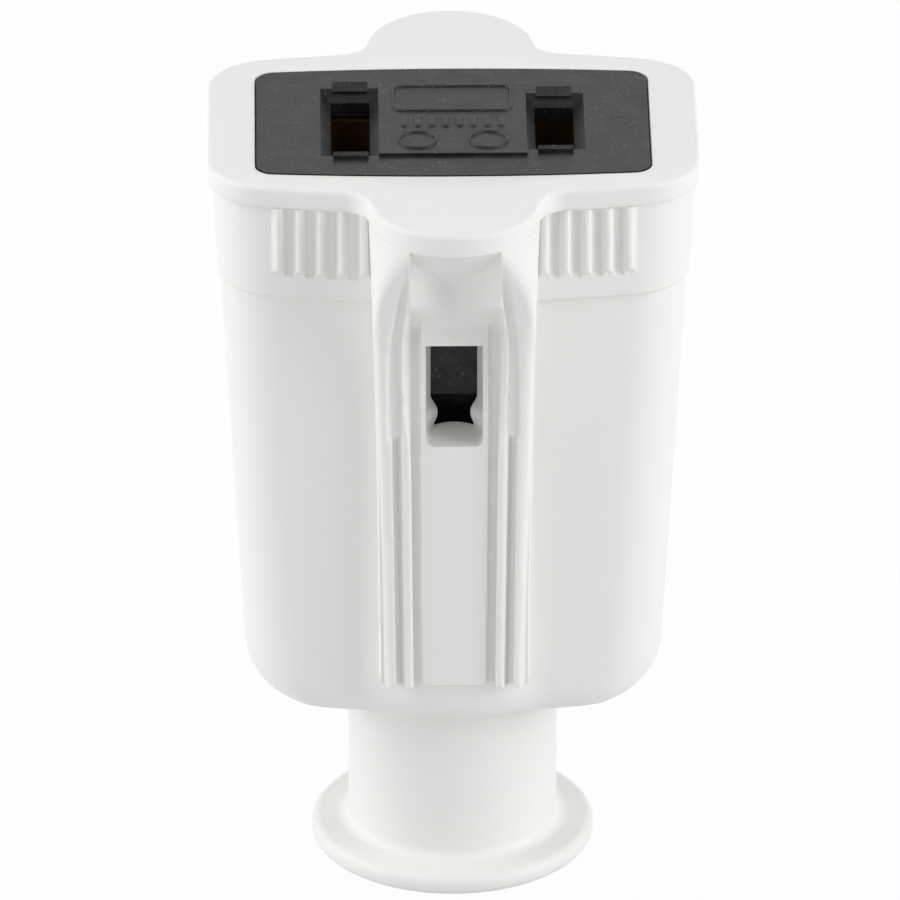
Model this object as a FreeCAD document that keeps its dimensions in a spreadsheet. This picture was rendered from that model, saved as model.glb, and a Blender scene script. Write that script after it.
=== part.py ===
# Inline socket connector for a two-wire cord, in millimetres.
# A soft white cover is one moulding with a round cord neck and flange. It holds a hard black
# contact block with two blade slots. +Z points out of the slotted face, X runs along the pitch
# of the slots, and the origin is the centre of the flange's underside.
import FreeCAD, Part
import Sketcher
import math
import os

SIZES = {
    # Cover: height, rim and band
    "top_height": 50.0,
    "body_foot": 12.3,
    "rim_thick": 1.4,
    "rim_proud": 0.3,
    "rim_round": 0.3,
    "rim_half_width": 15.25,
    "rim_half_depth": 10.3,
    "side_bulge": 65.0,
    "plan_corner": 4.0,
    "band_depth": 7.8,
    "band_foot_half_width": 14.65,
    "band_foot_half_depth": 9.95,
    "band_round": 0.3,
    # Cover: panels below the band
    "panel_top_half_width": 14.88,
    "panel_top_half_depth": 9.7,
    "panel_foot_half_width": 12.88,
    "panel_foot_half_depth": 8.83,
    "foot_round": 2.3,
    # Cover: lobes, legs and the window pad between the legs
    "lobe_radius": 5.25,
    "lobe_reach": 16.35,
    "lobe_blend": 2.0,
    "leg_inset": 0.15,
    "leg_foot": 15.5,
    "leg_bend": 33.5,
    "leg_reach": 10.75,
    "leg_foot_half_width": 4.5,
    "column_reach": 10.0,
    "column_bulge": 10.0,
    "column_half_width": 4.5,
    "column_corner": 0.6,
    "pad_reach": 10.25,
    "pad_half_width": 1.95,
    "channel_half_width": 2.55,
    "scoop_half_width": 2.85,
    "scoop_foot": 41.0,
    "scoop_waist": 42.7,
    "scoop_undercut": 0.25,
    "groove_depth": 0.55,
    "groove_half_width": 0.36,
    "groove_place": 3.55,
    "pad_groove_depth": 0.4,
    "flute_radius": 1.5,
    "flute_depth": 0.3,
    "flute_top": 45.5,
    # Cover: window
    "window_half_width": 1.78,
    "window_foot": 32.5,
    "window_top": 39.5,
    "window_corner": 0.5,
    "web_thick": 0.5,
    "web_half_width": 1.45,
    "web_waist_half_width": 1.02,
    "web_waist": 1.1,
    "web_shoulder": 2.2,
    "web_head": 0.2,
    # Cover: grip ridges
    "ridge_first": 5.25,
    "ridge_pitch": 1.31,
    "ridge_radius": 0.74,
    "ridge_proud": 0.36,
    "ridge_drop": 6.0,
    # Cover: neck, flange and cord bore
    "neck_radius": 6.6,
    "neck_fillet": 0.8,
    "flange_radius": 8.95,
    "flange_thick": 1.4,
    "flange_round": 0.6,
    "bore_radius": 4.3,
    # Contact block and the cavity that it fits
    "block_half_width": 12.2,
    "block_half_depth": 7.65,
    "block_bulge": 149.0,
    "block_corner": 1.2,
    "cavity_floor": 16.0,
    "cavity_foot_half_width": 11.3,
    "cavity_foot_half_depth": 6.8,
    "block_clearance": 0.08,
    "block_foot": 31.0,
    "face_wall": 1.6,
    "slot_pitch": 12.7,
    "slot_width": 2.42,
    "neutral_slot_length": 8.35,
    "line_slot_length": 6.75,
    "funnel_wall": 0.66,
    "funnel_drop": 0.7,
    "lip_width": 2.2,
    "lip_length": 0.9,
    "lip_height": 0.38,
    "lip_front_height": 0.23,
    "lip_land": 0.63,
    "panel_half_width": 4.6,
    "panel_half_length": 4.9,
    "panel_height": 0.2,
    "chamber_half_width": 2.3,
    "chamber_half_length": 4.5,
    "notch_half_width": 1.9,
    "notch_top": 34.7,
    "notch_height": 3.2,
    "notch_depth": 2.0,
    # Contacts
    "strip": 0.6,
    "contact_half_width": 1.75,
    "pinch_gap": 1.3,
    "leaf_mouth_gap": 2.6,
    "neutral_leaf_reach": 3.7,
    "line_leaf_reach": 3.1,
    "contact_top_gap": 0.15,
    "leaf_drop": 2.4,
    "leaf_lift": 1.8,
    "leaf_bend": 1.2,
    "foot_gap": 0.4,
    "plate_lift": 0.2,
    "terminal_half_width": 3.0,
    # Base and its screws
    "base_half_width": 9.3,
    "base_half_depth": 5.6,
    "base_height": 6.4,
    "spine_half_width": 3.6,
    "terminal_height": 3.3,
    "head_radius": 2.9,
    "head_thick": 1.45,
    "shank_radius": 1.7,
    "shank_length": 4.5,
    "shank_clearance": 0.05,
    "driver_slot": 0.8,
    "driver_depth": 0.7,
    "base_head_radius": 2.4,
    "base_head_thick": 1.3,
    "base_shank_radius": 1.4,
    "base_shank_length": 10.0,
    "thread_clearance": 0.02,
    # How far a cutter runs on past the face that it opens
    "overrun": 0.5,
}
RIDGES = 5
# Shares of a screw's own sizes: its point's radius and length, and its head's edge and flat.
POINT_RADIUS, POINT_LENGTH = 0.7, 0.5
HEAD_EDGE, HEAD_FLAT = 0.6, 0.8
# Where a contact's leaves pinch, as a share of their reach.
PINCH_PLACE = 0.2

DOC = FreeCAD.newDocument("inline_socket_connector")
SHEET = DOC.addObject("Spreadsheet::Sheet", "Sizes")
for row, (alias, number) in enumerate(SIZES.items(), start=1):
    SHEET.set(f"A{row}", alias)
    SHEET.set(f"B{row}", str(number))
    SHEET.setAlias(f"B{row}", alias)
DOC.recompute()


class Size:
    """A number together with the sheet expression that gives it."""

    def __init__(self, number, text):
        self.number = float(number)
        self.text = text

    def _with(self, other, sign, number):
        other = other if isinstance(other, Size) else Size(other, repr(other))
        return Size(number(self.number, other.number), f"({self.text} {sign} {other.text})")

    def __add__(self, other):
        return self._with(other, "+", lambda a, b: a + b)

    def __sub__(self, other):
        return self._with(other, "-", lambda a, b: a - b)

    def __mul__(self, other):
        return self._with(other, "*", lambda a, b: a * b)

    def __truediv__(self, other):
        return self._with(other, "/", lambda a, b: a / b)

    def __neg__(self):
        return Size(-self.number, f"(-1 * {self.text})")


def size(alias):
    """The sheet's cell of that name."""
    return Size(SHEET.get(alias), f"Sizes.{alias}")


def root(value):
    """The square root of a size."""
    return Size(math.sqrt(value.number), f"sqrt({value.text})")


NONE = Size(0, "0")
TOP = size("top_height")
UNDER_RIM = TOP - size("rim_thick")

# Each sketch plane: its turn, and the axis along which it is set off.
PLANES = {
    "XY": (FreeCAD.Rotation(), "z"),
    "XZ": (FreeCAD.Rotation(FreeCAD.Vector(1, 0, 0), 90), "y"),
    "YZ": (FreeCAD.Rotation(FreeCAD.Vector(1, 1, 1), 120), "x"),
}
UP = FreeCAD.Vector(0, 0, 1)
BACK = FreeCAD.Vector(0, 1, 0)
RIGHT = FreeCAD.Vector(1, 0, 0)


def bind(thing, **sizes):
    """Binds properties of an object to sizes; x, y and z are its place."""
    for name, value in sizes.items():
        path = f"Placement.Base.{name}" if name in "xyz" else name
        thing.setExpression(path, value.text)
    return thing


class Profile:
    """A closed chain of lines and arcs in a sketch, whose measures are bound to sizes."""

    def __init__(self, name, plane, offset=NONE):
        turn, axis = PLANES[plane]
        self.sketch = DOC.addObject("Sketcher::SketchObject", name)
        self.sketch.Placement = FreeCAD.Placement(FreeCAD.Vector(), turn)
        bind(self.sketch, **{axis: offset})

    def line(self, start, end):
        a = FreeCAD.Vector(start[0].number, start[1].number, 0)
        b = FreeCAD.Vector(end[0].number, end[1].number, 0)
        return self.sketch.addGeometry(Part.LineSegment(a, b))

    def arc(self, centre, radius, start, end):
        """An arc drawn anticlockwise between two angles in degrees."""
        ring = Part.Circle(FreeCAD.Vector(centre[0].number, centre[1].number, 0), UP, radius.number)
        return self.sketch.addGeometry(Part.ArcOfCircle(ring, math.radians(start), math.radians(end)))

    def tie(self, *rule):
        return self.sketch.addConstraint(Sketcher.Constraint(*rule))

    def measure(self, kind, *rule):
        """A dimension whose last item is the size that it is bound to."""
        *where, value = rule
        index = self.tie(kind, *where, value.number)
        self.sketch.setExpression(f"Constraints[{index}]", value.text)

    def place(self, piece, end, x, y):
        """Puts an end or a centre of a piece at x and y; NONE puts it on that axis."""
        for kind, value, axis in (("DistanceX", x, -2), ("DistanceY", y, -1)):
            if value is NONE:
                self.tie("PointOnObject", piece, end, axis)
            else:
                self.measure(kind, -1, 1, piece, end, value)

    def polygon(self, points):
        """A closed outline of straight edges, each corner placed by its two sizes."""
        edges = [self.line(a, b) for a, b in zip(points, points[1:] + points[:1])]
        for this, after, corner in zip(edges, edges[1:] + edges[:1], points[1:] + points[:1]):
            self.tie("Coincident", this, 2, after, 1)
            self.place(after, 1, *corner)
        return self.sketch


def chain(profile, pieces):
    """Joins pieces end to end; each is (piece, first end, last end, tangent to the next)."""
    for this, after in zip(pieces, pieces[1:] + pieces[:1]):
        kind = "Tangent" if this[3] else "Coincident"
        profile.tie(kind, this[0], this[2], after[0], after[1])


def degrees(x, y):
    return math.degrees(math.atan2(y, x))


def bulged_outline(name, height, half_width, half_depth, bulge, corner):
    """A rectangle with straight ends, long sides bowed out to an arc, and round corners.

    The bowed side is an arc whose centre lies on the middle plane, a bulge radius in from the
    side's highest point, and each corner is an arc tangent to the side and to the end.
    """
    profile = Profile(name, "XY", height)
    middle = half_depth - bulge
    corner_x = half_width - corner
    corner_y = middle + root((bulge - corner) * (bulge - corner) - corner_x * corner_x)
    lean = degrees(corner_x.number, (corner_y - middle).number)
    pieces = []
    for way in (1, -1):
        spin = 0 if way == 1 else 180
        x, y = (corner_x, corner_y) if way == 1 else (-corner_x, -corner_y)
        side_centre = middle if way == 1 else -middle
        end = profile.line((x + corner * way, -y), (x + corner * way, y))
        near = profile.arc((x, y), corner, spin, spin + lean)
        side = profile.arc((NONE, side_centre), bulge, spin + lean, spin + 180 - lean)
        far = profile.arc((-x, y), corner, spin + 180 - lean, spin + 180)
        pieces += [(end, 1, 2, True), (near, 1, 2, True), (side, 1, 2, True), (far, 1, 2, True)]
        profile.tie("Vertical", end)
        profile.measure("DistanceX", -1, 1, end, 1, half_width * way)
        profile.measure("Radius", near, corner)
        profile.measure("Radius", far, corner)
        profile.measure("Radius", side, bulge)
        profile.place(side, 3, NONE, side_centre)
    chain(profile, pieces)
    return profile.sketch


def spot(way, x, y):
    """A first place for a sketch point, turned half round where way is -1."""
    return Size(x * way, "0"), Size(y * way, "0")


def lobed_outline(name, height):
    """The bowed outline of the rim with a round lobe on the front and on the back.

    Each lobe is an arc whose centre lies on the middle plane, and a hollow arc joins it to the
    bowed side on either hand, tangent to both.
    """
    half_width, half_depth = size("rim_half_width"), size("rim_half_depth")
    bulge, corner = size("side_bulge"), size("plan_corner")
    lobe, reach, blend = size("lobe_radius"), size("lobe_reach"), size("lobe_blend")
    profile = Profile(name, "XY", height)
    middle = half_depth - bulge
    corner_x = half_width.number - corner.number
    corner_y = middle.number + math.sqrt((bulge - corner).number ** 2 - corner_x**2)
    lean = degrees(corner_x, corner_y - middle.number)
    # The blend's centre is a blend beyond both the side's arc and the lobe's arc.
    lobe_y = (reach - lobe).number
    from_side, from_lobe = (bulge + blend).number, (lobe + blend).number
    gap = lobe_y - middle.number
    along = (from_side**2 - from_lobe**2 + gap**2) / (2 * gap)
    blend_x = math.sqrt(from_side**2 - along**2)
    blend_y = middle.number + along
    at_side = degrees(blend_x, blend_y - middle.number)
    at_lobe = degrees(blend_x, blend_y - lobe_y)
    pieces = []
    for way in (1, -1):
        spin = 0 if way == 1 else 180

        end = profile.line(spot(way, half_width.number, -corner_y), spot(way, half_width.number, corner_y))
        near = profile.arc(spot(way, corner_x, corner_y), corner, spin, spin + lean)
        wing = profile.arc(spot(way, 0, middle.number), bulge, spin + lean, spin + at_side)
        dip = profile.arc(spot(way, blend_x, blend_y), blend, spin + 180 + at_lobe, spin + 180 + at_side)
        nose = profile.arc(spot(way, 0, lobe_y), lobe, spin + at_lobe, spin + 180 - at_lobe)
        rise = profile.arc(spot(way, -blend_x, blend_y), blend, spin - at_side, spin - at_lobe)
        tail = profile.arc(spot(way, 0, middle.number), bulge, spin + 180 - at_side, spin + 180 - lean)
        far = profile.arc(spot(way, -corner_x, corner_y), corner, spin + 180 - lean, spin + 180)
        pieces += [(end, 1, 2, True), (near, 1, 2, True), (wing, 1, 2, True), (dip, 2, 1, True)]
        pieces += [(nose, 1, 2, True), (rise, 2, 1, True), (tail, 1, 2, True), (far, 1, 2, True)]
        profile.tie("Vertical", end)
        profile.measure("DistanceX", -1, 1, end, 1, half_width * way)
        for piece, radius in ((near, corner), (far, corner), (dip, blend), (rise, blend)):
            profile.measure("Radius", piece, radius)
        for piece in (wing, tail):
            profile.measure("Radius", piece, bulge)
            profile.place(piece, 3, NONE, middle * way)
        profile.measure("Radius", nose, lobe)
        profile.place(nose, 3, NONE, (reach - lobe) * way)
    chain(profile, pieces)
    return profile.sketch


def loft(name, *sections):
    made = DOC.addObject("Part::Loft", name)
    made.Sections = list(sections)
    made.Solid = True
    made.Ruled = True
    return made


def prism(name, sketch, direction, ahead, behind=NONE):
    """A sketch extruded ahead along a direction, and behind against it."""
    made = DOC.addObject("Part::Extrusion", name)
    made.Base = sketch
    made.DirMode = "Custom"
    made.Dir = direction
    made.Solid = True
    return bind(made, LengthFwd=ahead, LengthRev=behind)


def block(name, x, y, z):
    """A box between two sizes along each axis."""
    made = DOC.addObject("Part::Box", name)
    bind(made, Length=x[1] - x[0], Width=y[1] - y[0], Height=z[1] - z[0])
    return bind(made, x=x[0], y=y[0], z=z[0])


def cylinder(name, radius, height, x=NONE, y=NONE, z=NONE, turn=None):
    made = DOC.addObject("Part::Cylinder", name)
    if turn is not None:
        made.Placement = FreeCAD.Placement(FreeCAD.Vector(), turn)
    return bind(made, Radius=radius, Height=height, x=x, y=y, z=z)


def fuse(name, *parts):
    made = DOC.addObject("Part::MultiFuse", name)
    made.Shapes = list(parts)
    made.Refine = True
    return made


def common(name, *parts):
    made = DOC.addObject("Part::MultiCommon", name)
    made.Shapes = list(parts)
    return made


def cut(name, base, *tools):
    made = DOC.addObject("Part::Cut", name)
    made.Base = base
    made.Tool = tools[0] if len(tools) == 1 else fuse(name + "_tools", *tools)
    return made


def mirror(name, source, normal):
    made = DOC.addObject("Part::Mirroring", name)
    made.Source = source
    made.Normal = normal
    return made


def rounded(name, base, radius, chosen):
    """Rounds the edges of base that chosen picks."""
    DOC.recompute()
    made = DOC.addObject("Part::Fillet", name)
    made.Base = base
    picked = [i for i, edge in enumerate(base.Shape.Edges, start=1) if chosen(edge)]
    made.Edges = [(i, radius.number, radius.number) for i in picked]
    return made


def lies_at(height):
    """Picks the edges that lie flat at a height."""
    def chosen(edge):
        box = edge.BoundBox
        return abs(box.ZMin - height.number) < 1e-4 and abs(box.ZMax - height.number) < 1e-4
    return chosen


def panel_body():
    """The tapered lower body, with its foot edge rounded."""
    foot = bulged_outline(
        "panel_foot_outline", size("body_foot"), size("panel_foot_half_width"),
        size("panel_foot_half_depth"), size("side_bulge"), size("plan_corner"),
    )
    top = bulged_outline(
        "panel_top_outline", UNDER_RIM, size("panel_top_half_width"),
        size("panel_top_half_depth"), size("side_bulge"), size("plan_corner"),
    )
    body = loft("panel_loft", foot, top)
    return rounded("panel_body", body, size("foot_round"), lies_at(size("body_foot")))


def grip_band():
    """The band below the rim, which stands proud of the panels."""
    height = TOP - size("band_depth")
    foot = bulged_outline(
        "band_foot_outline", height, size("band_foot_half_width"),
        size("band_foot_half_depth"), size("side_bulge"), size("plan_corner"),
    )
    top = bulged_outline(
        "band_top_outline", UNDER_RIM, size("rim_half_width") - size("rim_proud"),
        size("rim_half_depth") - size("rim_proud"), size("side_bulge"), size("plan_corner"),
    )
    body = loft("band_loft", foot, top)
    return rounded("grip_band", body, size("band_round"), lies_at(height))


def rim():
    """The lip round the slotted face, with the outline of both lobes."""
    plate = prism("rim_plate", lobed_outline("rim_outline", UNDER_RIM), UP, size("rim_thick"))
    return rounded("rim", plate, size("rim_round"), lies_at(TOP))


def grip_ridges():
    """Upright half-round ridges on the front of the band, on both sides of the lobe."""
    reach = size("rim_half_depth") - size("rim_proud")
    foot = TOP - size("ridge_drop")
    ridges = []
    for number in range(RIDGES):
        x = size("ridge_first") + size("ridge_pitch") * number
        band_y = reach - x * x / (size("side_bulge") * 2)
        axis_y = band_y + size("ridge_proud") - size("ridge_radius")
        for name, way in (("left", -1), ("right", 1)):
            ridge = cylinder(
                f"ridge_{name}_{number + 1}", size("ridge_radius"),
                UNDER_RIM - foot, x * way, -axis_y, foot,
            )
            ridges.append(ridge)
    return ridges


def leg_block():
    """The lobe's underside, which runs down into the two legs.

    Seen from the side it is a hollow arc from the lobe's edge that meets the upright face of the
    legs smoothly; seen from above it is the lobe's own round; seen from the front it narrows.
    """
    foot, bend = size("leg_foot"), size("leg_bend")
    reach, nose = size("leg_reach"), size("lobe_reach") - size("leg_inset")
    run, rise = nose - reach, UNDER_RIM - bend
    hollow = (run * run + rise * rise) / (run * 2)
    side = Profile("leg_side_outline", "YZ")
    turn = degrees((hollow - run).number, rise.number)
    low = side.line((-reach, bend), (-reach, foot))
    base = side.line((-reach, foot), (NONE, foot))
    back = side.line((NONE, foot), (NONE, UNDER_RIM))
    top = side.line((NONE, UNDER_RIM), (-nose, UNDER_RIM))
    slope = side.arc((-reach - hollow, bend), hollow, 0, turn)
    chain(side, [(slope, 2, 1, True), (low, 1, 2, False), (base, 1, 2, False),
                 (back, 1, 2, False), (top, 1, 2, False)])
    side.place(low, 2, -reach, foot)
    side.place(back, 1, NONE, foot)
    side.place(top, 2, -nose, UNDER_RIM)
    side.tie("Vertical", low)
    side.tie("Vertical", back)
    side.tie("Horizontal", top)
    side.measure("DistanceY", -1, 1, low, 1, bend)
    radius = size("lobe_radius") - size("leg_inset")
    seat = nose - radius
    plan = Profile("leg_plan_outline", "XY", foot)
    right = plan.line((radius, -seat), (radius, NONE))
    behind = plan.line((radius, NONE), (-radius, NONE))
    left = plan.line((-radius, NONE), (-radius, -seat))
    front = plan.arc((NONE, -seat), radius, 180, 360)
    chain(plan, [(front, 1, 2, True), (right, 1, 2, False), (behind, 1, 2, False),
                 (left, 1, 2, True)])
    plan.place(front, 3, NONE, -seat)
    plan.measure("Radius", front, radius)
    plan.tie("PointOnObject", behind, 1, -1)
    plan.tie("PointOnObject", behind, 2, -1)
    top_half, foot_half = size("lobe_radius"), size("leg_foot_half_width")
    taper = Profile("leg_front_outline", "XZ").polygon([
        (-foot_half, foot), (foot_half, foot), (top_half, UNDER_RIM), (-top_half, UNDER_RIM),
    ])
    wide = size("lobe_radius") * 2
    deep = size("lobe_reach") * 2
    return common(
        "leg_block",
        prism("leg_side", side.sketch, RIGHT, wide, wide),
        prism("leg_plan", plan.sketch, UP, TOP - foot),
        prism("leg_front", taper, -BACK, deep),
    ), hollow


def between_the_legs():
    """The space between the legs: the finger scoop under the lobe and the channel below it."""
    pad, foot = size("pad_reach"), size("scoop_foot")
    waist, nose = size("scoop_waist"), size("lobe_reach") - size("leg_inset")
    deepest = pad - size("scoop_undercut")
    run, rise = nose - deepest, UNDER_RIM - waist
    hollow = (run * run + rise * rise) / (run * 2)
    # The arc's centre is level with the waist; it leaves the pad's plane at the scoop's foot.
    centre_y = deepest + hollow
    drop = root(hollow * hollow - (centre_y - pad) * (centre_y - pad))
    clear = size("lobe_reach") * 2
    outline = Profile("scoop_outline", "YZ")
    up = degrees((centre_y - nose).number, rise.number)
    down = -degrees((centre_y - pad).number, drop.number)
    curve = outline.arc((-centre_y, waist), hollow, down, up)
    roof = outline.line((-nose, UNDER_RIM), (-clear, UNDER_RIM))
    front = outline.line((-clear, UNDER_RIM), (-clear, waist - drop))
    floor = outline.line((-clear, waist - drop), (-pad, waist - drop))
    chain(outline, [(curve, 1, 2, False), (roof, 1, 2, False), (front, 1, 2, False),
                    (floor, 1, 2, False)])
    outline.place(curve, 3, -centre_y, waist)
    outline.measure("Radius", curve, hollow)
    outline.tie("Horizontal", roof)
    outline.tie("Horizontal", floor)
    outline.place(front, 1, -clear, UNDER_RIM)
    outline.tie("Vertical", front)
    outline.measure("DistanceX", -1, 1, floor, 2, -pad)
    half = size("scoop_half_width")
    scoop = prism("scoop", outline.sketch, RIGHT, half, half)
    side = size("channel_half_width")
    channel = block("channel", (-side, side), (-clear, -pad), (size("leg_foot"), foot))
    return [scoop, channel]


def leg_grooves(hollow):
    """Upright grooves: one on each leg, and one on each side of the pad."""
    foot, bend = size("leg_foot"), size("leg_bend")
    reach, depth, half = size("leg_reach"), size("groove_depth"), size("groove_half_width")
    pad, pad_depth = size("pad_reach"), size("pad_groove_depth")
    tools = []
    for name, way in (("left", -1), ("right", 1)):
        place = size("groove_place") * way
        outline = Profile(f"leg_groove_outline_{name}", "XY", foot).polygon([
            (place - half, -(reach + depth)), (place - half, -reach),
            (place, -(reach - depth)), (place + half, -reach), (place + half, -(reach + depth)),
        ])
        tools.append(prism(f"leg_groove_{name}", outline, UP, bend - foot))
        inner, outer = size("pad_half_width"), size("channel_half_width")
        low, high = (inner * way, outer * way) if way == 1 else (outer * way, inner * way)
        strip = block(
            f"pad_groove_{name}", (low, high), (-(pad + depth), -(pad - pad_depth)),
            (foot, size("scoop_foot")),
        )
        tools.append(strip)
        ring = DOC.addObject("Part::Torus", f"flute_ring_{name}")
        turn = FreeCAD.Rotation(BACK, 90)
        ring.Placement = FreeCAD.Placement(FreeCAD.Vector(), turn)
        bind(
            ring, Radius1=hollow + size("flute_depth") - size("flute_radius"),
            Radius2=size("flute_radius"), x=place, y=-(reach + hollow), z=bend,
        )
        reach_in = size("channel_half_width") * 2
        window = block(
            f"flute_range_{name}", (place - reach_in, place + reach_in),
            (-(size("lobe_reach") * 2), NONE), (bend, size("flute_top")),
        )
        tools.append(common(f"flute_{name}", ring, window))
    return tools


def legs():
    """Both legs with the underside of the lobe, on the front of the cover."""
    body, hollow = leg_block()
    return cut("front_legs", body, *between_the_legs(), *leg_grooves(hollow))


def column():
    """The bowed middle of the front and back, on which the legs stand."""
    outline = bulged_outline(
        "column_outline", size("body_foot"), size("column_half_width"),
        size("column_reach"), size("column_bulge"), size("column_corner"),
    )
    body = prism("column_body", outline, UP, size("scoop_foot") - size("body_foot"))
    return rounded("column", body, size("foot_round"), lies_at(size("body_foot")))


def neck():
    """The round cord neck with its flange, turned about Z."""
    turned = Profile("neck_outline", "XZ")
    edge, thick = size("flange_radius"), size("flange_thick")
    curl, radius = size("flange_round"), size("neck_radius")
    fillet, top = size("neck_fillet"), size("cavity_floor")
    floor = turned.line((NONE, NONE), (edge - curl, NONE))
    low = turned.arc((edge - curl, curl), curl, -90, 0)
    side = turned.line((edge, curl), (edge, thick - curl))
    high = turned.arc((edge - curl, thick - curl), curl, 0, 90)
    dish = turned.line((edge - curl, thick), (radius + fillet, thick))
    hollow = turned.arc((radius + fillet, thick + fillet), fillet, 180, 270)
    wall = turned.line((radius, thick + fillet), (radius, top))
    lid = turned.line((radius, top), (NONE, top))
    axis = turned.line((NONE, top), (NONE, NONE))
    chain(turned, [(floor, 1, 2, True), (low, 1, 2, True), (side, 1, 2, True),
                   (high, 1, 2, True), (dish, 1, 2, True), (hollow, 2, 1, True),
                   (wall, 1, 2, False), (lid, 1, 2, False), (axis, 1, 2, False)])
    turned.tie("Coincident", floor, 1, -1, 1)
    turned.tie("Horizontal", floor)
    turned.tie("Vertical", side)
    turned.tie("Horizontal", dish)
    turned.tie("Vertical", wall)
    turned.tie("Horizontal", lid)
    turned.tie("Vertical", axis)
    turned.measure("DistanceX", -1, 1, side, 1, edge)
    turned.measure("DistanceY", -1, 1, dish, 1, thick)
    turned.measure("DistanceX", -1, 1, wall, 1, radius)
    turned.measure("DistanceY", -1, 1, lid, 1, top)
    for piece, rounding in ((low, curl), (high, curl), (hollow, fillet)):
        turned.measure("Radius", piece, rounding)
    made = DOC.addObject("Part::Revolution", "neck")
    made.Source = turned.sketch
    made.Axis = UP
    made.Angle = 360
    made.Solid = True
    return made


def inner_taper(height, which, room):
    """A half size of the block at a height, on the straight taper of the cavity's wall."""
    at_top, at_floor = size(f"block_half_{which}"), size(f"cavity_foot_half_{which}")
    share = (TOP - height) / (TOP - size("cavity_floor"))
    return at_top - (at_top - at_floor) * share + room


def block_outline(name, height, room):
    """The contact block's outline at a height, grown by a clearance."""
    return bulged_outline(
        name, height, inner_taper(height, "width", room), inner_taper(height, "depth", room),
        size("block_bulge"), size("block_corner") + room,
    )


def runs_back_at(height):
    """Picks the edges that lie at a height and run from front to back."""
    def chosen(edge):
        return lies_at(height)(edge) and edge.BoundBox.YLength > edge.BoundBox.XLength
    return chosen


def window():
    """The window through the front wall, and the pinched opening in the web at its inner end."""
    half, foot, top = size("window_half_width"), size("window_foot"), size("window_top")
    inner = inner_taper(foot, "depth", size("block_clearance")) + size("web_thick")
    opening = block(
        "window_opening", (-half, half), (-(size("pad_reach") * 2), -inner), (foot, top),
    )
    opening = rounded("window_rounded", opening, size("window_corner"), runs_back_at(foot))
    wide, waist = size("web_half_width"), size("web_waist_half_width")
    low, high = foot + size("web_waist"), foot + size("web_shoulder")
    head = top - size("web_head")
    pinched = Profile("web_outline", "XZ").polygon([
        (-wide, foot), (wide, foot), (waist, low), (wide, high), (wide, head),
        (-wide, head), (-wide, high), (-waist, low),
    ])
    return opening, prism("web_opening", pinched, -BACK, size("pad_reach"))


def cover():
    """The whole moulded cover."""
    front = legs()
    back = mirror("back_legs", front, BACK)
    ridges = fuse("front_ridges", *grip_ridges())
    outer = fuse(
        "cover_outside", panel_body(), grip_band(), rim(), column(), neck(), front, back,
        ridges, mirror("back_ridges", ridges, BACK),
    )
    floor, room = size("cavity_floor"), size("block_clearance")
    cavity = loft(
        "cavity", block_outline("cavity_foot_outline", floor, room),
        block_outline("cavity_top_outline", TOP, room),
    )
    past = size("overrun")
    bore = cylinder("cord_bore", size("bore_radius"), floor + past * 2, z=-past)
    opening, web = window()
    made = cut(
        "cover", outer, cavity, bore, opening, web,
        mirror("back_window", opening, BACK), mirror("back_web", web, BACK),
    )
    return made


def blade_slot(name, centre, length, top):
    """The cutters of one blade slot: its throat through the face wall and its funnel mouth."""
    width, wall = size("slot_width"), size("funnel_wall")
    half, reach = width / 2, length / 2
    throat = block(
        f"{name}_throat", (centre - half, centre + half), (-reach, reach),
        (TOP - size("face_wall") - size("overrun"), TOP),
    )
    corners = [(-1, -1), (1, -1), (1, 1), (-1, 1)]
    mouth = Profile(f"{name}_mouth_outline", "XY", top).polygon([
        (centre + (half + wall) * x, (reach + wall) * y) for x, y in corners
    ])
    bottom = Profile(f"{name}_funnel_foot_outline", "XY", TOP - size("funnel_drop")).polygon([
        (centre + half * x, reach * y) for x, y in corners
    ])
    return [throat, loft(f"{name}_funnel", bottom, mouth)]


def entry_lips(name, centre, length):
    """The raised lip at each end of a slot, sloped towards the slot."""
    half, reach = size("lip_width") / 2, length / 2 + size("funnel_wall")
    near, far = reach - size("lip_length") / 2, reach + size("lip_length") / 2
    crest, high, low = near + size("lip_land"), size("lip_height"), size("lip_front_height")
    lips = []
    for end, way in (("front", -1), ("back", 1)):
        outline = Profile(f"{name}_lip_outline_{end}", "YZ", centre).polygon([
            (near * way, TOP - high), (far * way, TOP - high), (far * way, TOP + low),
            (crest * way, TOP + high), (near * way, TOP),
        ])
        lips.append(prism(f"{name}_lip_{end}", outline, RIGHT, half, half))
    return lips


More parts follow.
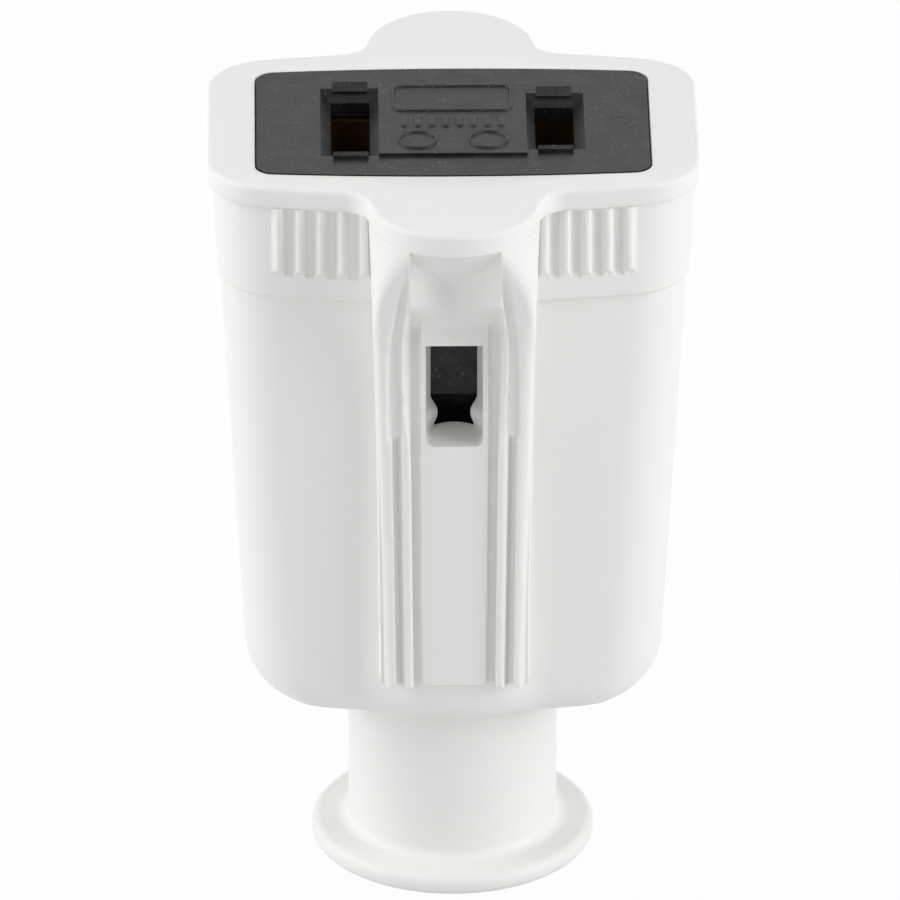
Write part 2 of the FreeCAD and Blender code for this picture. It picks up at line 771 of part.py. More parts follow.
def contact_block():
    """The hard block: slotted face, two contact chambers and the notch behind each window."""
    foot, wall = size("block_foot"), size("face_wall")
    body = loft(
        "block_body", block_outline("block_foot_outline", foot, NONE),
        block_outline("block_top_outline", TOP, NONE),
    )
    half, length = size("panel_half_width"), size("panel_half_length")
    plate = block("mark_panel", (-half, half), (-length, length), (TOP - wall / 2, TOP + size("panel_height")))
    solids, tools = [body, plate], []
    for name, way in (("neutral", -1), ("line", 1)):
        centre = size("slot_pitch") / 2 * way
        slot_length = size(f"{name}_slot_length")
        solids += entry_lips(name, centre, slot_length)
        tools += blade_slot(name, centre, slot_length, TOP)
        side, reach = size("chamber_half_width"), size("chamber_half_length")
        tools.append(block(
            f"{name}_chamber", (centre - side, centre + side), (-reach, reach), (foot, TOP - wall),
        ))
    notch, high = size("notch_half_width"), size("notch_top")
    face = inner_taper(high, "depth", NONE)
    for name, way in (("front", -1), ("back", 1)):
        deep, clear = (face - size("notch_depth")) * way, size("block_half_depth") * way
        low, far = (clear, deep) if way == -1 else (deep, clear)
        tools.append(block(f"notch_{name}", (-notch, notch), (low, far), (high - size("notch_height"), high)))
    pilot = size("base_shank_length") - size("base_height") + size("base_head_thick")
    tools.append(cylinder(
        "pilot_hole", size("base_shank_radius") + size("thread_clearance"),
        pilot + size("shank_clearance"), z=foot,
    ))
    return cut("contact_block", fuse("block_outside", *solids), *tools)


BASE_TOP = size("block_foot") - size("strip")
BASE_FOOT = BASE_TOP - size("base_height") + size("strip")
SCREW_HEIGHT = BASE_FOOT + size("terminal_height")
TERMINAL_FACE = size("base_half_width") + size("strip")


def block_base():
    """The lower block: its spine meets the contact block between the feet of the contacts."""
    wide, deep, spine = size("base_half_width"), size("base_half_depth"), size("spine_half_width")
    body = block("base_body", (-wide, wide), (-deep, deep), (BASE_FOOT, BASE_TOP))
    room, past = size("shank_clearance"), size("overrun")
    ridge = block("base_spine", (-spine, spine), (-deep, deep), (BASE_TOP - past, size("block_foot")))
    tools = [
        cylinder(
            "base_hole", size("base_shank_radius") + room, size("base_height") + past * 2,
            z=BASE_FOOT - past,
        ),
        cylinder("base_counterbore", size("base_head_radius") + room, size("base_head_thick"), z=BASE_FOOT),
    ]
    for name, way in (("neutral", -1), ("line", 1)):
        turn = FreeCAD.Rotation(BACK, 90 * way)
        tools.append(cylinder(
            f"{name}_shank_hole", size("shank_radius") + room, size("shank_length"),
            TERMINAL_FACE * way - size("shank_length") * way - room * way, NONE, SCREW_HEIGHT, turn,
        ))
    return cut("block_base", fuse("base_solid", body, ridge), *tools)


def contact(name, way):
    """One contact, folded from strip: two leaves on a back web, a foot and a terminal plate."""
    centre, strip = size("slot_pitch") / 2 * way, size("strip")
    top = TOP - size("face_wall") - size("contact_top_gap")
    half, reach = size("contact_half_width"), size(f"{name}_leaf_reach")
    pinch, mouth = size("pinch_gap") / 2, size("leaf_mouth_gap") / 2
    back, foot = size("chamber_half_length") - size("contact_top_gap"), size("block_foot")
    bend, waist = back - size("leaf_bend"), -(reach * PINCH_PLACE)
    outer = [
        (half, back), (half, bend), (pinch + strip, waist), (mouth + strip, -reach),
        (mouth, -reach), (pinch, waist), (half - strip, bend), (half - strip, back - strip),
    ]
    right = [(centre + x, y) for x, y in outer]
    left = [(centre - x, y) for x, y in reversed(outer)]
    low = foot + size("leaf_lift")
    outline = Profile(f"{name}_leaf_outline", "XY", low).polygon(right + left)
    leaves = prism(f"{name}_leaves", outline, UP, top - size("leaf_drop") - low)
    web = block(
        f"{name}_web", (centre - half, centre + half), (back - strip, back), (BASE_TOP, top),
    )
    edge, flat = size("terminal_half_width"), size("spine_half_width") + size("foot_gap")
    ends = [flat * way, TERMINAL_FACE * way]
    sole = block(
        f"{name}_foot", (ends[0], ends[1]) if way == 1 else (ends[1], ends[0]),
        (-edge, back), (BASE_TOP, foot),
    )
    face = [TERMINAL_FACE * way - strip * way, TERMINAL_FACE * way]
    plate = block(
        f"{name}_plate", (face[0], face[1]) if way == 1 else (face[1], face[0]),
        (-edge, edge), (BASE_FOOT + size("plate_lift"), foot),
    )
    turn = FreeCAD.Rotation(BACK, 90)
    past = strip + size("overrun")
    hole = cylinder(
        f"{name}_thread", size("shank_radius") + size("thread_clearance"), past * 2,
        TERMINAL_FACE * way - past, NONE, SCREW_HEIGHT, turn,
    )
    return cut(f"{name}_contact", fuse(f"{name}_strip", leaves, web, sole, plate), hole)


def screw(name, head_radius, head_thick, shank_radius, shank_length, place, turn):
    """A slotted screw: its shank points along -Z before it is turned to its place."""
    outline = Profile(f"{name}_outline", "XZ").polygon([
        (NONE, -shank_length), (shank_radius * POINT_RADIUS, -shank_length),
        (shank_radius, -shank_length + shank_radius * POINT_LENGTH), (shank_radius, NONE),
        (head_radius, NONE), (head_radius, head_thick * HEAD_EDGE),
        (head_radius * HEAD_FLAT, head_thick),
        (NONE, head_thick),
    ])
    turned = DOC.addObject("Part::Revolution", f"{name}_turned")
    turned.Source = outline
    turned.Axis = UP
    turned.Angle = 360
    turned.Solid = True
    half = size("driver_slot") / 2
    slot = block(
        f"{name}_driver_slot", (-head_radius, head_radius), (-half, half),
        (head_thick - size("driver_depth"), head_thick),
    )
    made = cut(name, turned, slot)
    made.Placement = FreeCAD.Placement(FreeCAD.Vector(), turn)
    return bind(made, x=place[0], y=place[1], z=place[2])


def screws():
    made = []
    for name, way in (("neutral", -1), ("line", 1)):
        made.append(screw(
            f"{name}_screw", size("head_radius"), size("head_thick"), size("shank_radius"),
            size("shank_length"), (TERMINAL_FACE * way, NONE, SCREW_HEIGHT),
            FreeCAD.Rotation(BACK, 90 * way),
        ))
    made.append(screw(
        "base_screw", size("base_head_radius"), size("base_head_thick"), size("base_shank_radius"),
        size("base_shank_length"), (NONE, NONE, BASE_FOOT + size("base_head_thick")),
        FreeCAD.Rotation(RIGHT, 180),
    ))
    return made


def main():
    pieces = [cover(), contact_block(), block_base(), contact("neutral", -1), contact("line", 1)]
    pieces += screws()
    DOC.recompute()
    for thing in DOC.Objects:
        if "Invalid" in thing.State or "Error" in thing.State:
            raise RuntimeError(f"{thing.Name} failed: {thing.State}")
    os.makedirs("parts", exist_ok=True)
    for piece in pieces:
        shape = piece.Shape
        if shape.isNull() or not shape.isValid() or len(shape.Solids) != 1:
            raise RuntimeError(f"{piece.Label} has no single valid solid")
        shape.exportStep(f"parts/{piece.Label}.step")
        print(piece.Label, round(shape.Volume, 2), shape.BoundBox)


main()
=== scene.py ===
"""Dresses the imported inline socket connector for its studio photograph, in metres."""
import math

import bpy
import numpy as np
from bpy.props import FloatProperty, FloatVectorProperty, IntProperty, PointerProperty
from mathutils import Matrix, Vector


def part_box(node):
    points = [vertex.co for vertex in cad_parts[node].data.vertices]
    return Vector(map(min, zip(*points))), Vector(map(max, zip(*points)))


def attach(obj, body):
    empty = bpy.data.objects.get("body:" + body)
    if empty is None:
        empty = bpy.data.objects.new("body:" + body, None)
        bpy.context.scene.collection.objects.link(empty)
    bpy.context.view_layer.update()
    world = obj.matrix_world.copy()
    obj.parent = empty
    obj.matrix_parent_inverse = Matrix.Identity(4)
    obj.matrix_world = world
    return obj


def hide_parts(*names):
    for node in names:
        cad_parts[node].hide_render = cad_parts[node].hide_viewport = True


bl_info = {
    "name": "Inline Socket Connector",
    "version": (1, 0, 0),
    "blender": (4, 5, 0),
    "location": "3D View > Sidebar > Connector",
    "description": "Cover, contact block, fittings and studio of an inline socket connector",
    "category": "Object",
}

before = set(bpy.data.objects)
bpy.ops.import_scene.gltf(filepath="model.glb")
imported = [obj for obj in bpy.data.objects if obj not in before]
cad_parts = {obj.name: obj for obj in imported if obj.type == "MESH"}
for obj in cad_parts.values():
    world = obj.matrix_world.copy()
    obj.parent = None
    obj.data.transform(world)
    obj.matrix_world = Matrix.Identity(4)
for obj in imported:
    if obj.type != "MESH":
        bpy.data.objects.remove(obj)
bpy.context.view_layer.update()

MM = 0.001
BODY = "root"
_, COVER_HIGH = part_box("cover")
_, BLOCK_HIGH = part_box("contact_block")

# Each softbox: its name, its place in metres, the side of its square and its power in watts.
LAMPS = (
    ("left_high_softbox", (-0.48, 0.0, 0.4), 0.45, 1.5),
    ("left_low_softbox", (-0.58, -0.05, 0.15), 0.4, 1.0),
    ("left_front_softbox", (-0.32, -0.45, 0.15), 0.4, 0.5),
    ("right_high_softbox", (0.46, -0.2, 0.38), 0.45, 1.35),
    ("right_low_softbox", (0.55, -0.15, 0.15), 0.4, 1.4),
    ("back_top_softbox", (0.0, 0.3, 0.55), 0.5, 0.6),
)
WHITE = (1.0, 1.0, 1.0, 1.0)
SHARP_ANGLE = math.radians(32.0)
# Keeps a division or a comparison clear of rounding.
TINY = 1e-9


# Properties

def linear(value):
    """The linear colour of an sRGB hex value."""
    channels = [int(value[i:i + 2], 16) / 255.0 for i in (0, 2, 4)]
    return tuple(c / 12.92 if c <= 0.04045 else ((c + 0.055) / 1.055) ** 2.4
                 for c in channels) + (1.0,)


def label(name):
    """A property's name as the panel shows it."""
    return name.replace("_", " ").title()


def lengths(**table):
    """Length properties: each has its default in millimetres, kept in metres, and what it is."""
    return {name: FloatProperty(name=label(name), description=about, default=value * MM,
                                unit="LENGTH", precision=6)
            for name, (value, about) in table.items()}


def factors(**table):
    """Properties that are plain numbers."""
    return {name: FloatProperty(name=label(name), description=about, default=value)
            for name, (value, about) in table.items()}


def colours(**table):
    """Colour properties: each has its default as a six-digit sRGB hex value, and its use."""
    return {name: FloatVectorProperty(name=label(name), description=about, default=linear(value),
                                      size=4, min=0.0, max=1.0, subtype="COLOR")
            for name, (value, about) in table.items()}


class CoverSizes(bpy.types.PropertyGroup):
    """Sizes of the moulded cover that its solid in the frame doesn't give."""
    __annotations__ = lengths(
        rim_thick=(1.4, "Height of the lip round the slotted face"),
        rim_proud=(0.3, "How far the lip stands proud of the band"),
        rim_round=(0.3, "Radius of the lip's upper edge"),
        half_depth=(10.3, "Half depth of the lip between its lobes"),
        bulge=(65.0, "Radius of the bowed long sides"),
        corner=(4.0, "Corner radius seen from above"),
        foot=(12.3, "Height of the body's underside"),
        foot_round=(2.3, "Radius of the body's lower edge"),
        end_round=(4.0, "Radius of the body's lower corners, seen from the front"),
        foot_half_width=(12.88, "Half width of the panels at the foot"),
        foot_half_depth=(8.83, "Half depth of the panels at the foot"),
        panel_half_width=(14.88, "Half width of the panels under the lip"),
        panel_half_depth=(9.7, "Half depth of the panels under the lip"),
        band_depth=(7.8, "Distance from the slotted face to the band's foot"),
        band_half_width=(14.65, "Half width of the band at its foot"),
        band_half_depth=(9.95, "Half depth of the band at its foot"),
        band_round=(0.3, "Radius of the band's lower edge"),
        lobe_radius=(5.25, "Radius of the lip's lobes"),
        lobe_blend=(2.0, "Radius between a lobe and the long side"),
        leg_inset=(0.02, "How far the legs stay back from the lobe's edge"),
        leg_foot=(15.5, "Height at which the legs end"),
        leg_bend=(33.5, "Height at which the legs turn upright"),
        leg_reach=(10.75, "Depth of the upright legs"),
        leg_foot_half_width=(4.6, "Half width across the legs' feet"),
        column_reach=(9.85, "Depth of the bowed middle"),
        column_bulge=(12.0, "Radius of the bowed middle"),
        pad_reach=(10.25, "Depth of the flat pad between the legs"),
        pad_half_width=(2.08, "Half width of the pad at the bend"),
        pad_groove=(0.4, "Depth of the groove beside the pad"),
        channel_half_width=(2.68, "Half width between the legs at the bend"),
        scoop_foot=(40.05, "Height at which the finger scoop meets the pad"),
        scoop_waist=(42.2, "Height of the scoop's deepest line"),
        scoop_undercut=(0.25, "How far the scoop goes in behind the pad"),
        groove_place=(3.62, "Distance of a leg's groove from the middle"),
        groove_half_width=(0.36, "Half width of a leg's groove"),
        groove_depth=(0.5, "Depth of a leg's groove"),
        leg_round=(0.7, "Width of the round on a leg's outer edge"),
        leg_fall=(0.45, "How far that round falls back"),
        leg_crown=(0.12, "Height of the crown on a leg's inner ridge"),
        flute_width=(1.2, "Width of a leg's flute at its foot"),
        flute_depth=(0.34, "Depth of a flute at its foot"),
        flute_top=(48.0, "Height of a flute's pointed end"),
        crest_narrow=(2.84, "Distance of the legs' inner crest from the middle at the lobe"),
        crest_wide=(3.28, "Distance of that crest from the middle where it bows out"),
        crest_low=(3.12, "Distance of that crest from the middle at the bend"),
        crest_belly=(39.0, "Height at which the crest bows out most"),
        window_half_width=(1.78, "Half width of the window"),
        window_foot=(32.5, "Height of the window's lower edge"),
        window_top=(39.5, "Height of the window's upper edge"),
        window_corner=(0.5, "Radius of the window's lower corners"),
        web_thick=(0.3, "Thickness of the web's edge behind the window"),
        web_slope=(1.0, "How far the web slopes in from the window's wall"),
        web_half_width=(1.45, "Half width of the opening in the web"),
        web_waist_half_width=(1.02, "Half width of that opening at its waist"),
        web_waist=(1.1, "Height of the waist over the window's foot"),
        web_shoulder=(2.2, "Height over the foot where the waist ends"),
        ridge_first=(5.6, "Distance of the first grip ridge from the middle"),
        ridge_pitch=(1.31, "Distance from ridge to ridge"),
        ridge_top=(0.08, "Half width of a ridge's top"),
        ridge_flank=(0.4, "Width of a ridge's rounded flank"),
        ridge_proud=(0.3, "How far a ridge stands out of the band"),
        ridge_cut=(0.2, "How deep the valleys between the ridges are cut"),
        ridge_drop=(6.2, "Distance from the slotted face to a ridge's foot"),
        neck_radius=(6.6, "Radius of the cord neck"),
        neck_fillet=(0.8, "Radius between neck and flange"),
        flange_radius=(8.95, "Radius of the flange"),
        flange_thick=(1.4, "Thickness of the flange"),
        flange_round=(0.6, "Radius of the flange's edges"),
        bore_radius=(4.3, "Radius of the cord bore"),
        cavity_floor=(16.0, "Height of the cavity's floor"),
        cavity_foot_half_width=(11.3, "Half width of the cavity at its floor"),
        cavity_foot_half_depth=(6.8, "Half depth of the cavity at its floor"),
        cavity_bulge=(149.0, "Radius of the cavity's long sides"),
        cavity_corner=(1.28, "Corner radius of the cavity"),
        cavity_room=(0.08, "Gap between the block and the cavity"),
    ) | factors(
        foot_draw=(0.94, "Share to which the pad and grooves draw in at the legs' feet"),
        scoop_slope=(1.15, "How far a side of the scoop comes out for each unit across"),
        roof_slope=(1.2, "How far the scoop's roof goes in for each unit that it drops"),
    )
    ridges: IntProperty(name="Ridges", description="Grip ridges in each group", default=5)


class MarkSizes(bpy.types.PropertyGroup):
    """Sizes of the plain raised marks on the slotted face."""
    __annotations__ = lengths(
        frame_half_width=(3.65, "Half width of the plain frame"),
        frame_near=(1.15, "Distance of the frame's near side from the middle"),
        frame_far=(4.65, "Distance of the frame's far side from the middle"),
        frame_corner=(0.5, "Corner radius of the frame"),
        line_half_width=(0.11, "Half width of a raised line"),
        line_height=(0.12, "Height of a raised line"),
        line_base=(0.2, "Height of the lines' feet over the cover's top"),
        bar_pitch=(0.86, "Distance from bar to bar"),
        bar_half_length=(0.7, "Half length of a short bar"),
        bar_half_width=(0.13, "Half width of a short bar"),
        bar_front=(0.4, "Distance of the bars in front of the middle"),
        pin_radius=(1.15, "Radius of an ejector pin's ring"),
        pin_place=(2.2, "Distance of each ring from the middle"),
        pin_front=(3.05, "Distance of the rings in front of the middle"),
    )
    bars: IntProperty(name="Bars", description="Short bars in the row", default=8)


class Finishes(bpy.types.PropertyGroup):
    """Colours of the real materials."""
    __annotations__ = colours(
        vinyl=("EDEDEB", "Moulded cover"),
        block=("171718", "Moulded block"),
        smudge=("28282A", "Paler smudges on the block"),
        dust=("77777A", "Moulding dust on the block"),
        brass=("94783F", "Contacts and the line screw"),
        zinc=("C9CACC", "Neutral screw and base screw"),
        floor=("DEDEDE", "Plain studio floor"),
    )


class StudioSizes(bpy.types.PropertyGroup):
    """The camera's and the lamps' places."""
    __annotations__ = lengths(
        distance=(1000.0, "Distance from the camera to its aim"),
        aim_x=(-0.15, "Sideways place of the camera's aim"),
        aim_z=(27.1, "Height of the camera's aim"),
        floor_half=(3000.0, "Half size of the floor"),
        floor_drop=(0.02, "Depth of the floor under the flange, so that they share no plane"),
    ) | factors(
        lens=(636.5, "Focal length in millimetres"),
        lamp_power=(1.0, "Factor on the powers of all lamps"),
        room_light=(0.25, "Strength of the room's light"),
        floor_white=(0.96, "Share of the floor that the camera sees as white paper"),
    )
    azimuth: FloatProperty(name="Azimuth", description="Camera angle round the object",
                           default=math.radians(-0.7), subtype="ANGLE")
    elevation: FloatProperty(name="Elevation", description="Camera angle over the horizon",
                             default=math.radians(26.86), subtype="ANGLE")


# Curves and meshes

def ease(share):
    """A smooth step: 0 up to 0, 1 from 1 on, and 3 t squared minus 2 t cubed between."""
    share = np.clip(share, 0.0, 1.0)
    return share * share * (3.0 - 2.0 * share)


def share_of(value, start, end):
    """How far a value has come from start to end: 0 up to the start and 1 from the end on."""
    return np.clip((value - start) / (end - start), 0.0, 1.0)


def quarter(share):
    """A quarter round: it leaves 0 upright and levels out at 1."""
    return np.sqrt(1.0 - (1.0 - np.clip(share, 0.0, 1.0)) ** 2)


def sag(radius, x):
    """How far an arc of a radius falls back at a distance from its middle."""
    return radius - np.sqrt(np.clip(radius ** 2 - x ** 2, 0.0, None))


def remap(value, start, end, low, high):
    """Carries a value from the stretch start to end onto the stretch low to high."""
    return low + (value - start) / (end - start) * (high - low)


def taper(share, low, high):
    """Half width and half depth on the straight way from one section to another."""
    return tuple(a + (b - a) * share for a, b in zip(low, high))


def soft_max(one, other, width):
    """The greater of two depths, where a parabola of a width rounds the crease between them."""
    share = np.clip(0.5 + 0.5 * (one - other) / width, 0.0, 1.0)
    return other + (one - other) * share + width * share * (1.0 - share)


def soft_min(one, other, width):
    """The lesser of two depths, with the crease rounded as in soft_max."""
    return -soft_max(-one, -other, width)


def steps(start, *stretches):
    """Places along a line from a start; each stretch is its end and its number of steps."""
    places = [np.array([start])]
    for end, count in stretches:
        places.append(np.linspace(start, end, count + 1)[1:])
        start = end
    return np.concatenate(places)


def new_object(name, data):
    """An object in the scene's collection."""
    thing = bpy.data.objects.new(name, data)
    bpy.context.scene.collection.objects.link(thing)
    return thing


def make_piece(name, points, faces, material, slot):
    """A mesh object of quads at the origin that rides on the body."""
    mesh = bpy.data.meshes.new(name)
    mesh.from_pydata(points.tolist(), [], faces.tolist())
    mesh.validate()
    mesh.shade_smooth()
    mesh.set_sharp_from_angle(angle=SHARP_ANGLE)
    mesh.materials.append(material)
    piece = new_object(name, mesh)
    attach(piece, BODY)
    return piece


def grid_faces(rows, columns):
    """Quads between neighbouring rows and columns of a grid of points that closes on itself.

    Each quad runs along its row, then on to the next row and back.
    """
    index = np.arange(rows * columns).reshape(rows, columns)
    next_row = np.roll(index, -1, axis=0)
    return np.stack([index, np.roll(index, -1, axis=1), np.roll(next_row, -1, axis=1), next_row],
                    axis=-1)


# The moulded cover

class CoverForm:
    """The cover as one closed surface of rows and columns.

    Columns run once round the cover, anticlockwise from above: the front from left to right, a
    corner, the right end, a corner, and then the same again turned half round. Rows run up the
    outside, in over the lip, down the cavity, down the bore, out under the flange and up the
    neck to the body's foot, where they close.
    """
    # Distances from the middle at which a stretch of columns ends, before they are spread.
    LEG_FIXED = 3.95 * MM
    LEG_EDGE = 5.0 * MM
    LEG_WALL = 5.1 * MM
    BLEND_END = 7.0 * MM
    RIDGE_END = 11.4 * MM
    FRONT_END = 11.9 * MM
    # Where the lower corners start to draw in, and the room that columns keep from a crease.
    END_START = 5.3 * MM
    CREASE, CREST_CREASE = 0.05 * MM, 0.06 * MM
    CORNER_STEPS, END_STEPS, ROUND_STEPS = 10, 8, 7
    FOOT_ROWS, WAIST_ROWS, HEAD_ROWS = 14, 14, 6
    FACE_SHARES, UNDER_SHARES = (0.25, 0.5, 0.75), (0.4, 0.8)

    def __init__(self, sizes):
        self.s = s = sizes
        self.half_width, self.reach, self.top = COVER_HIGH
        self.under_rim = self.top - s.rim_thick
        self.band_foot = self.top - s.band_depth
        half = steps(0.0, (s.window_half_width, 12), (s.pad_half_width, 2),
                     (s.pad_half_width + self.CREASE, 1), (s.channel_half_width - self.CREASE, 4),
                     (s.channel_half_width, 1), (s.channel_half_width + self.CREST_CREASE, 1),
                     (self.LEG_FIXED, 15), (self.LEG_EDGE, 9), (self.LEG_WALL, 3),
                     (self.BLEND_END, 20), (self.RIDGE_END, 48), (self.FRONT_END, 3))
        self.station = np.concatenate([-half[:0:-1], half])[None, :]
        self.at = np.abs(self.station)

    def side_end(self, half_width, bulge, corner):
        """Where a bowed side ends, for a half width, a bulge radius and a corner radius."""
        return (half_width - corner) * bulge / (bulge - corner)

    def along_side(self, start, end):
        """Columns of a bowed side, spread from the end of the lobe's blend to the side's end."""
        return remap(self.at, self.BLEND_END, self.FRONT_END, start, end)

    def close(self, x, depth, half_width, half_depth, bulge, corner, inset):
        """x and y of closed rings from their fronts: corners and ends are set in by inset.

        A corner is an arc about the point where the bowed side's radius, less the corner, meets
        the end's line, less the corner.
        """
        centre_x = half_width - corner
        centre_y = half_depth - bulge + np.sqrt((bulge - corner) ** 2 - centre_x ** 2)
        lean = np.arcsin(centre_x / (bulge - corner))
        turn = np.linspace(0.0, 1.0, self.CORNER_STEPS)[None, 1:]
        near = (lean - math.pi / 2) * (1.0 - turn)
        far = (math.pi / 2 - lean) * turn[:, :-1]
        end_y = centre_y * np.linspace(-1.0, 1.0, self.END_STEPS)[None, 1:]
        radius = corner - inset
        sides = ((x, -depth),
                 (centre_x + radius * np.cos(near), radius * np.sin(near) - centre_y),
                 (half_width - inset + 0.0 * end_y, end_y),
                 (centre_x + radius * np.cos(far), centre_y + radius * np.sin(far)))
        rows = np.zeros((len(x), 1))
        halves = [np.concatenate([side[axis] + rows for side in sides], axis=1) for axis in (0, 1)]
        return [np.concatenate([half, -half], axis=1) for half in halves]

    def rings(self, x, y, z):
        return np.stack([x, y, z + np.zeros_like(x)], axis=-1)

    def leg_half_width(self, z):
        """Half width across the legs: it grows with the square of the height over their feet."""
        s = self.s
        wider = s.lobe_radius - s.leg_inset - s.leg_foot_half_width
        return s.leg_foot_half_width + wider * share_of(z, s.leg_foot, self.under_rim) ** 2

    def draw(self, z):
        """Share to which the pad and grooves draw in: 1 at the window's foot, less at the feet."""
        s = self.s
        return 1.0 - (1.0 - s.foot_draw) * share_of(z, s.window_foot, s.leg_foot)

    def spread(self, z, side_end):
        """Each column's x at a height.

        Columns near the middle keep their x; from there they spread out to the leg's edge, on to
        the end of the lobe's blend, and on to the end of the bowed side.
        """
        at, drawn, edge = self.at, self.draw(z), self.leg_half_width(z)
        wall = edge + (self.LEG_WALL - self.LEG_EDGE)
        fixed = self.LEG_FIXED * drawn
        turn = share_of(at, self.LEG_FIXED, self.LEG_EDGE)
        x = np.select([at <= self.LEG_FIXED, at <= self.LEG_EDGE, at <= self.LEG_WALL,
                       at <= self.BLEND_END],
                      [at * drawn, fixed + (edge - fixed) * np.sin(turn * math.pi / 2),
                       edge + (at - self.LEG_EDGE),
                       remap(at, self.LEG_WALL, self.BLEND_END, wall, self.BLEND_END)],
                      self.along_side(self.BLEND_END, side_end))
        return x * np.sign(self.station)

    def skin(self, z):
        """Half width and half depth of the outside: the panels, then the band above its foot."""
        s = self.s
        panels = taper((z - s.foot) / (self.under_rim - s.foot),
                       (s.foot_half_width, s.foot_half_depth),
                       (s.panel_half_width, s.panel_half_depth))
        band = taper((z - self.band_foot) / (self.under_rim - self.band_foot),
                     (s.band_half_width, s.band_half_depth),
                     (self.half_width - s.rim_proud, s.half_depth - s.rim_proud))
        return taper(quarter((z - self.band_foot) / s.band_round), panels, band)

    def ridge_depth(self, x, z):
        """How far the grip ridges stand out of the band, and less than 0 in the valleys between.

        Each ridge eases down from its top to the band outside the group and to a valley's floor
        inside it. Their feet are quarter rounds, those of the valleys lower than the ridges'.
        """
        s = self.s
        foot_round, foot_rise = 0.45 * MM, 0.3 * MM
        at = np.abs(x) - s.ridge_first
        number = np.clip(np.round(at / s.ridge_pitch), 0, s.ridges - 1)
        off = np.abs(at - number * s.ridge_pitch)
        ridge = 1.0 - ease((off - s.ridge_top) / s.ridge_flank)
        between = (at > 0.0) & (at < (s.ridges - 1) * s.ridge_pitch)
        bump = s.ridge_proud * ridge - s.ridge_cut * (1.0 - ridge) * between
        return bump * quarter((z - (self.top - s.ridge_drop + foot_rise * ridge)) / foot_round)

    def lobe_edge(self, x):
        """Depth of the lobe's own round, a leg inset inside the lip."""
        s = self.s
        return self.reach - s.leg_inset - sag(s.lobe_radius - s.leg_inset, x)

    def crest(self, z):
        """Distance of the legs' inner crest from the middle at a height.

        From the bend it eases out to its belly and from there back in, until just under the lobe.
        """
        s, room = self.s, 2.0 * MM
        out = ease(share_of(z, s.leg_bend, s.crest_belly))
        back = ease(share_of(z, s.crest_belly, self.under_rim - room))
        return (s.crest_low + (s.crest_wide - s.crest_low) * out
                + (s.crest_narrow - s.crest_wide) * back)

    def leg_depth(self, x, z):
        """Depth of the legs' front: an upright face below the bend and a hollow arc above it.

        The lobe's own round limits it. Below the bend it has a flat-floored groove, and above it a
        flute shaped as a lens with its point at the top. The outer edge is a round that fades out
        towards the lobe, and the inner ridge below the bend has a crown.
        """
        s = self.s
        lobe_blend, bend_blend, groove_wall = 0.8 * MM, 0.5 * MM, 0.2 * MM
        inner_wall, outer_wall, point, round_end = 0.12, 0.35, 0.3, 0.98
        fade_start, fade_length, crown_half = 8.0 * MM, 7.0 * MM, 0.3 * MM
        at = np.abs(x)
        below = ease((s.leg_bend - z) / bend_blend)

        run, rise = self.reach - s.leg_inset - s.leg_reach, self.under_rim - s.leg_bend
        hollow = (run ** 2 + rise ** 2) / (2.0 * run)
        slope = s.leg_reach + sag(hollow, np.clip(z - s.leg_bend, 0.0, rise))
        depth = soft_min(slope + 0.0 * x, self.lobe_edge(x), lobe_blend)

        off = np.abs(at - s.groove_place)
        groove = ease((s.groove_half_width - off) / groove_wall) * below

        along = share_of(z, s.flute_top, s.leg_bend)
        width = s.flute_width * np.sqrt(along) + TINY
        off = np.clip((at - self.crest(z)) / width, 0.0, 1.0)
        lens = ease(off / inner_wall) * ease((1.0 - off) / outer_wall)
        lens = lens * ease(along / point) * (1.0 - below)

        low = 1.0 - ease((z - self.under_rim + fade_start) / fade_length)
        over = np.clip((at - self.leg_half_width(z)) / s.leg_round + 1.0, 0.0, round_end)
        middle = 0.5 * (s.channel_half_width + s.groove_place - s.groove_half_width)
        crown = np.clip(np.abs(at - middle) / crown_half, 0.0, 1.0) ** 2
        crown = crown * (at < s.groove_place) * below
        return (depth - s.groove_depth * groove - s.flute_depth * lens
                - s.leg_fall * sag(1.0, over) * low - s.leg_crown * crown)

    def middle_depth(self, x, z):
        """Depth between the legs: the pad with its two side grooves, and the finger scoop.

        The scoop is a trough. Its middle line goes in slowly with the height over its foot, and
        its two sides come out from there as a round-bottomed V, steeper the higher they are. A
        flat roof slopes down and in from the lobe and meets them in two lines that run to a
        point. Its foot is a smile: higher at the sides than in the middle.
        """
        s = self.s
        groove_wall, groove_run, groove_over = 0.1 * MM, 1.0 * MM, 1.2 * MM
        smile, undercut_run, lean_out, steep_run = 0.6 * MM, 0.7 * MM, 0.26, 3.4 * MM
        bottom, roof_blend = 0.6 * MM, 0.5 * MM
        at = np.abs(x)
        groove = (ease((at - s.pad_half_width) / groove_wall)
                  * ease((s.scoop_foot + groove_over - z) / groove_run))
        lobe = self.lobe_edge(x)
        over = np.clip(z - (s.scoop_foot + smile * (at / s.channel_half_width) ** 2), 0.0, None)
        middle = s.pad_reach - s.scoop_undercut * ease(over / undercut_run) + lean_out * over
        steep = s.scoop_slope * ease(over / steep_run)
        trough = middle + steep * (np.sqrt(at ** 2 + bottom ** 2) - bottom)
        roof = lobe - s.roof_slope * (self.under_rim - z)
        scoop = soft_max(trough, np.where(z > s.scoop_waist, roof, 0.0), roof_blend)
        return np.where(over > 0.0, np.minimum(scoop, lobe), s.pad_reach) - s.pad_groove * groove

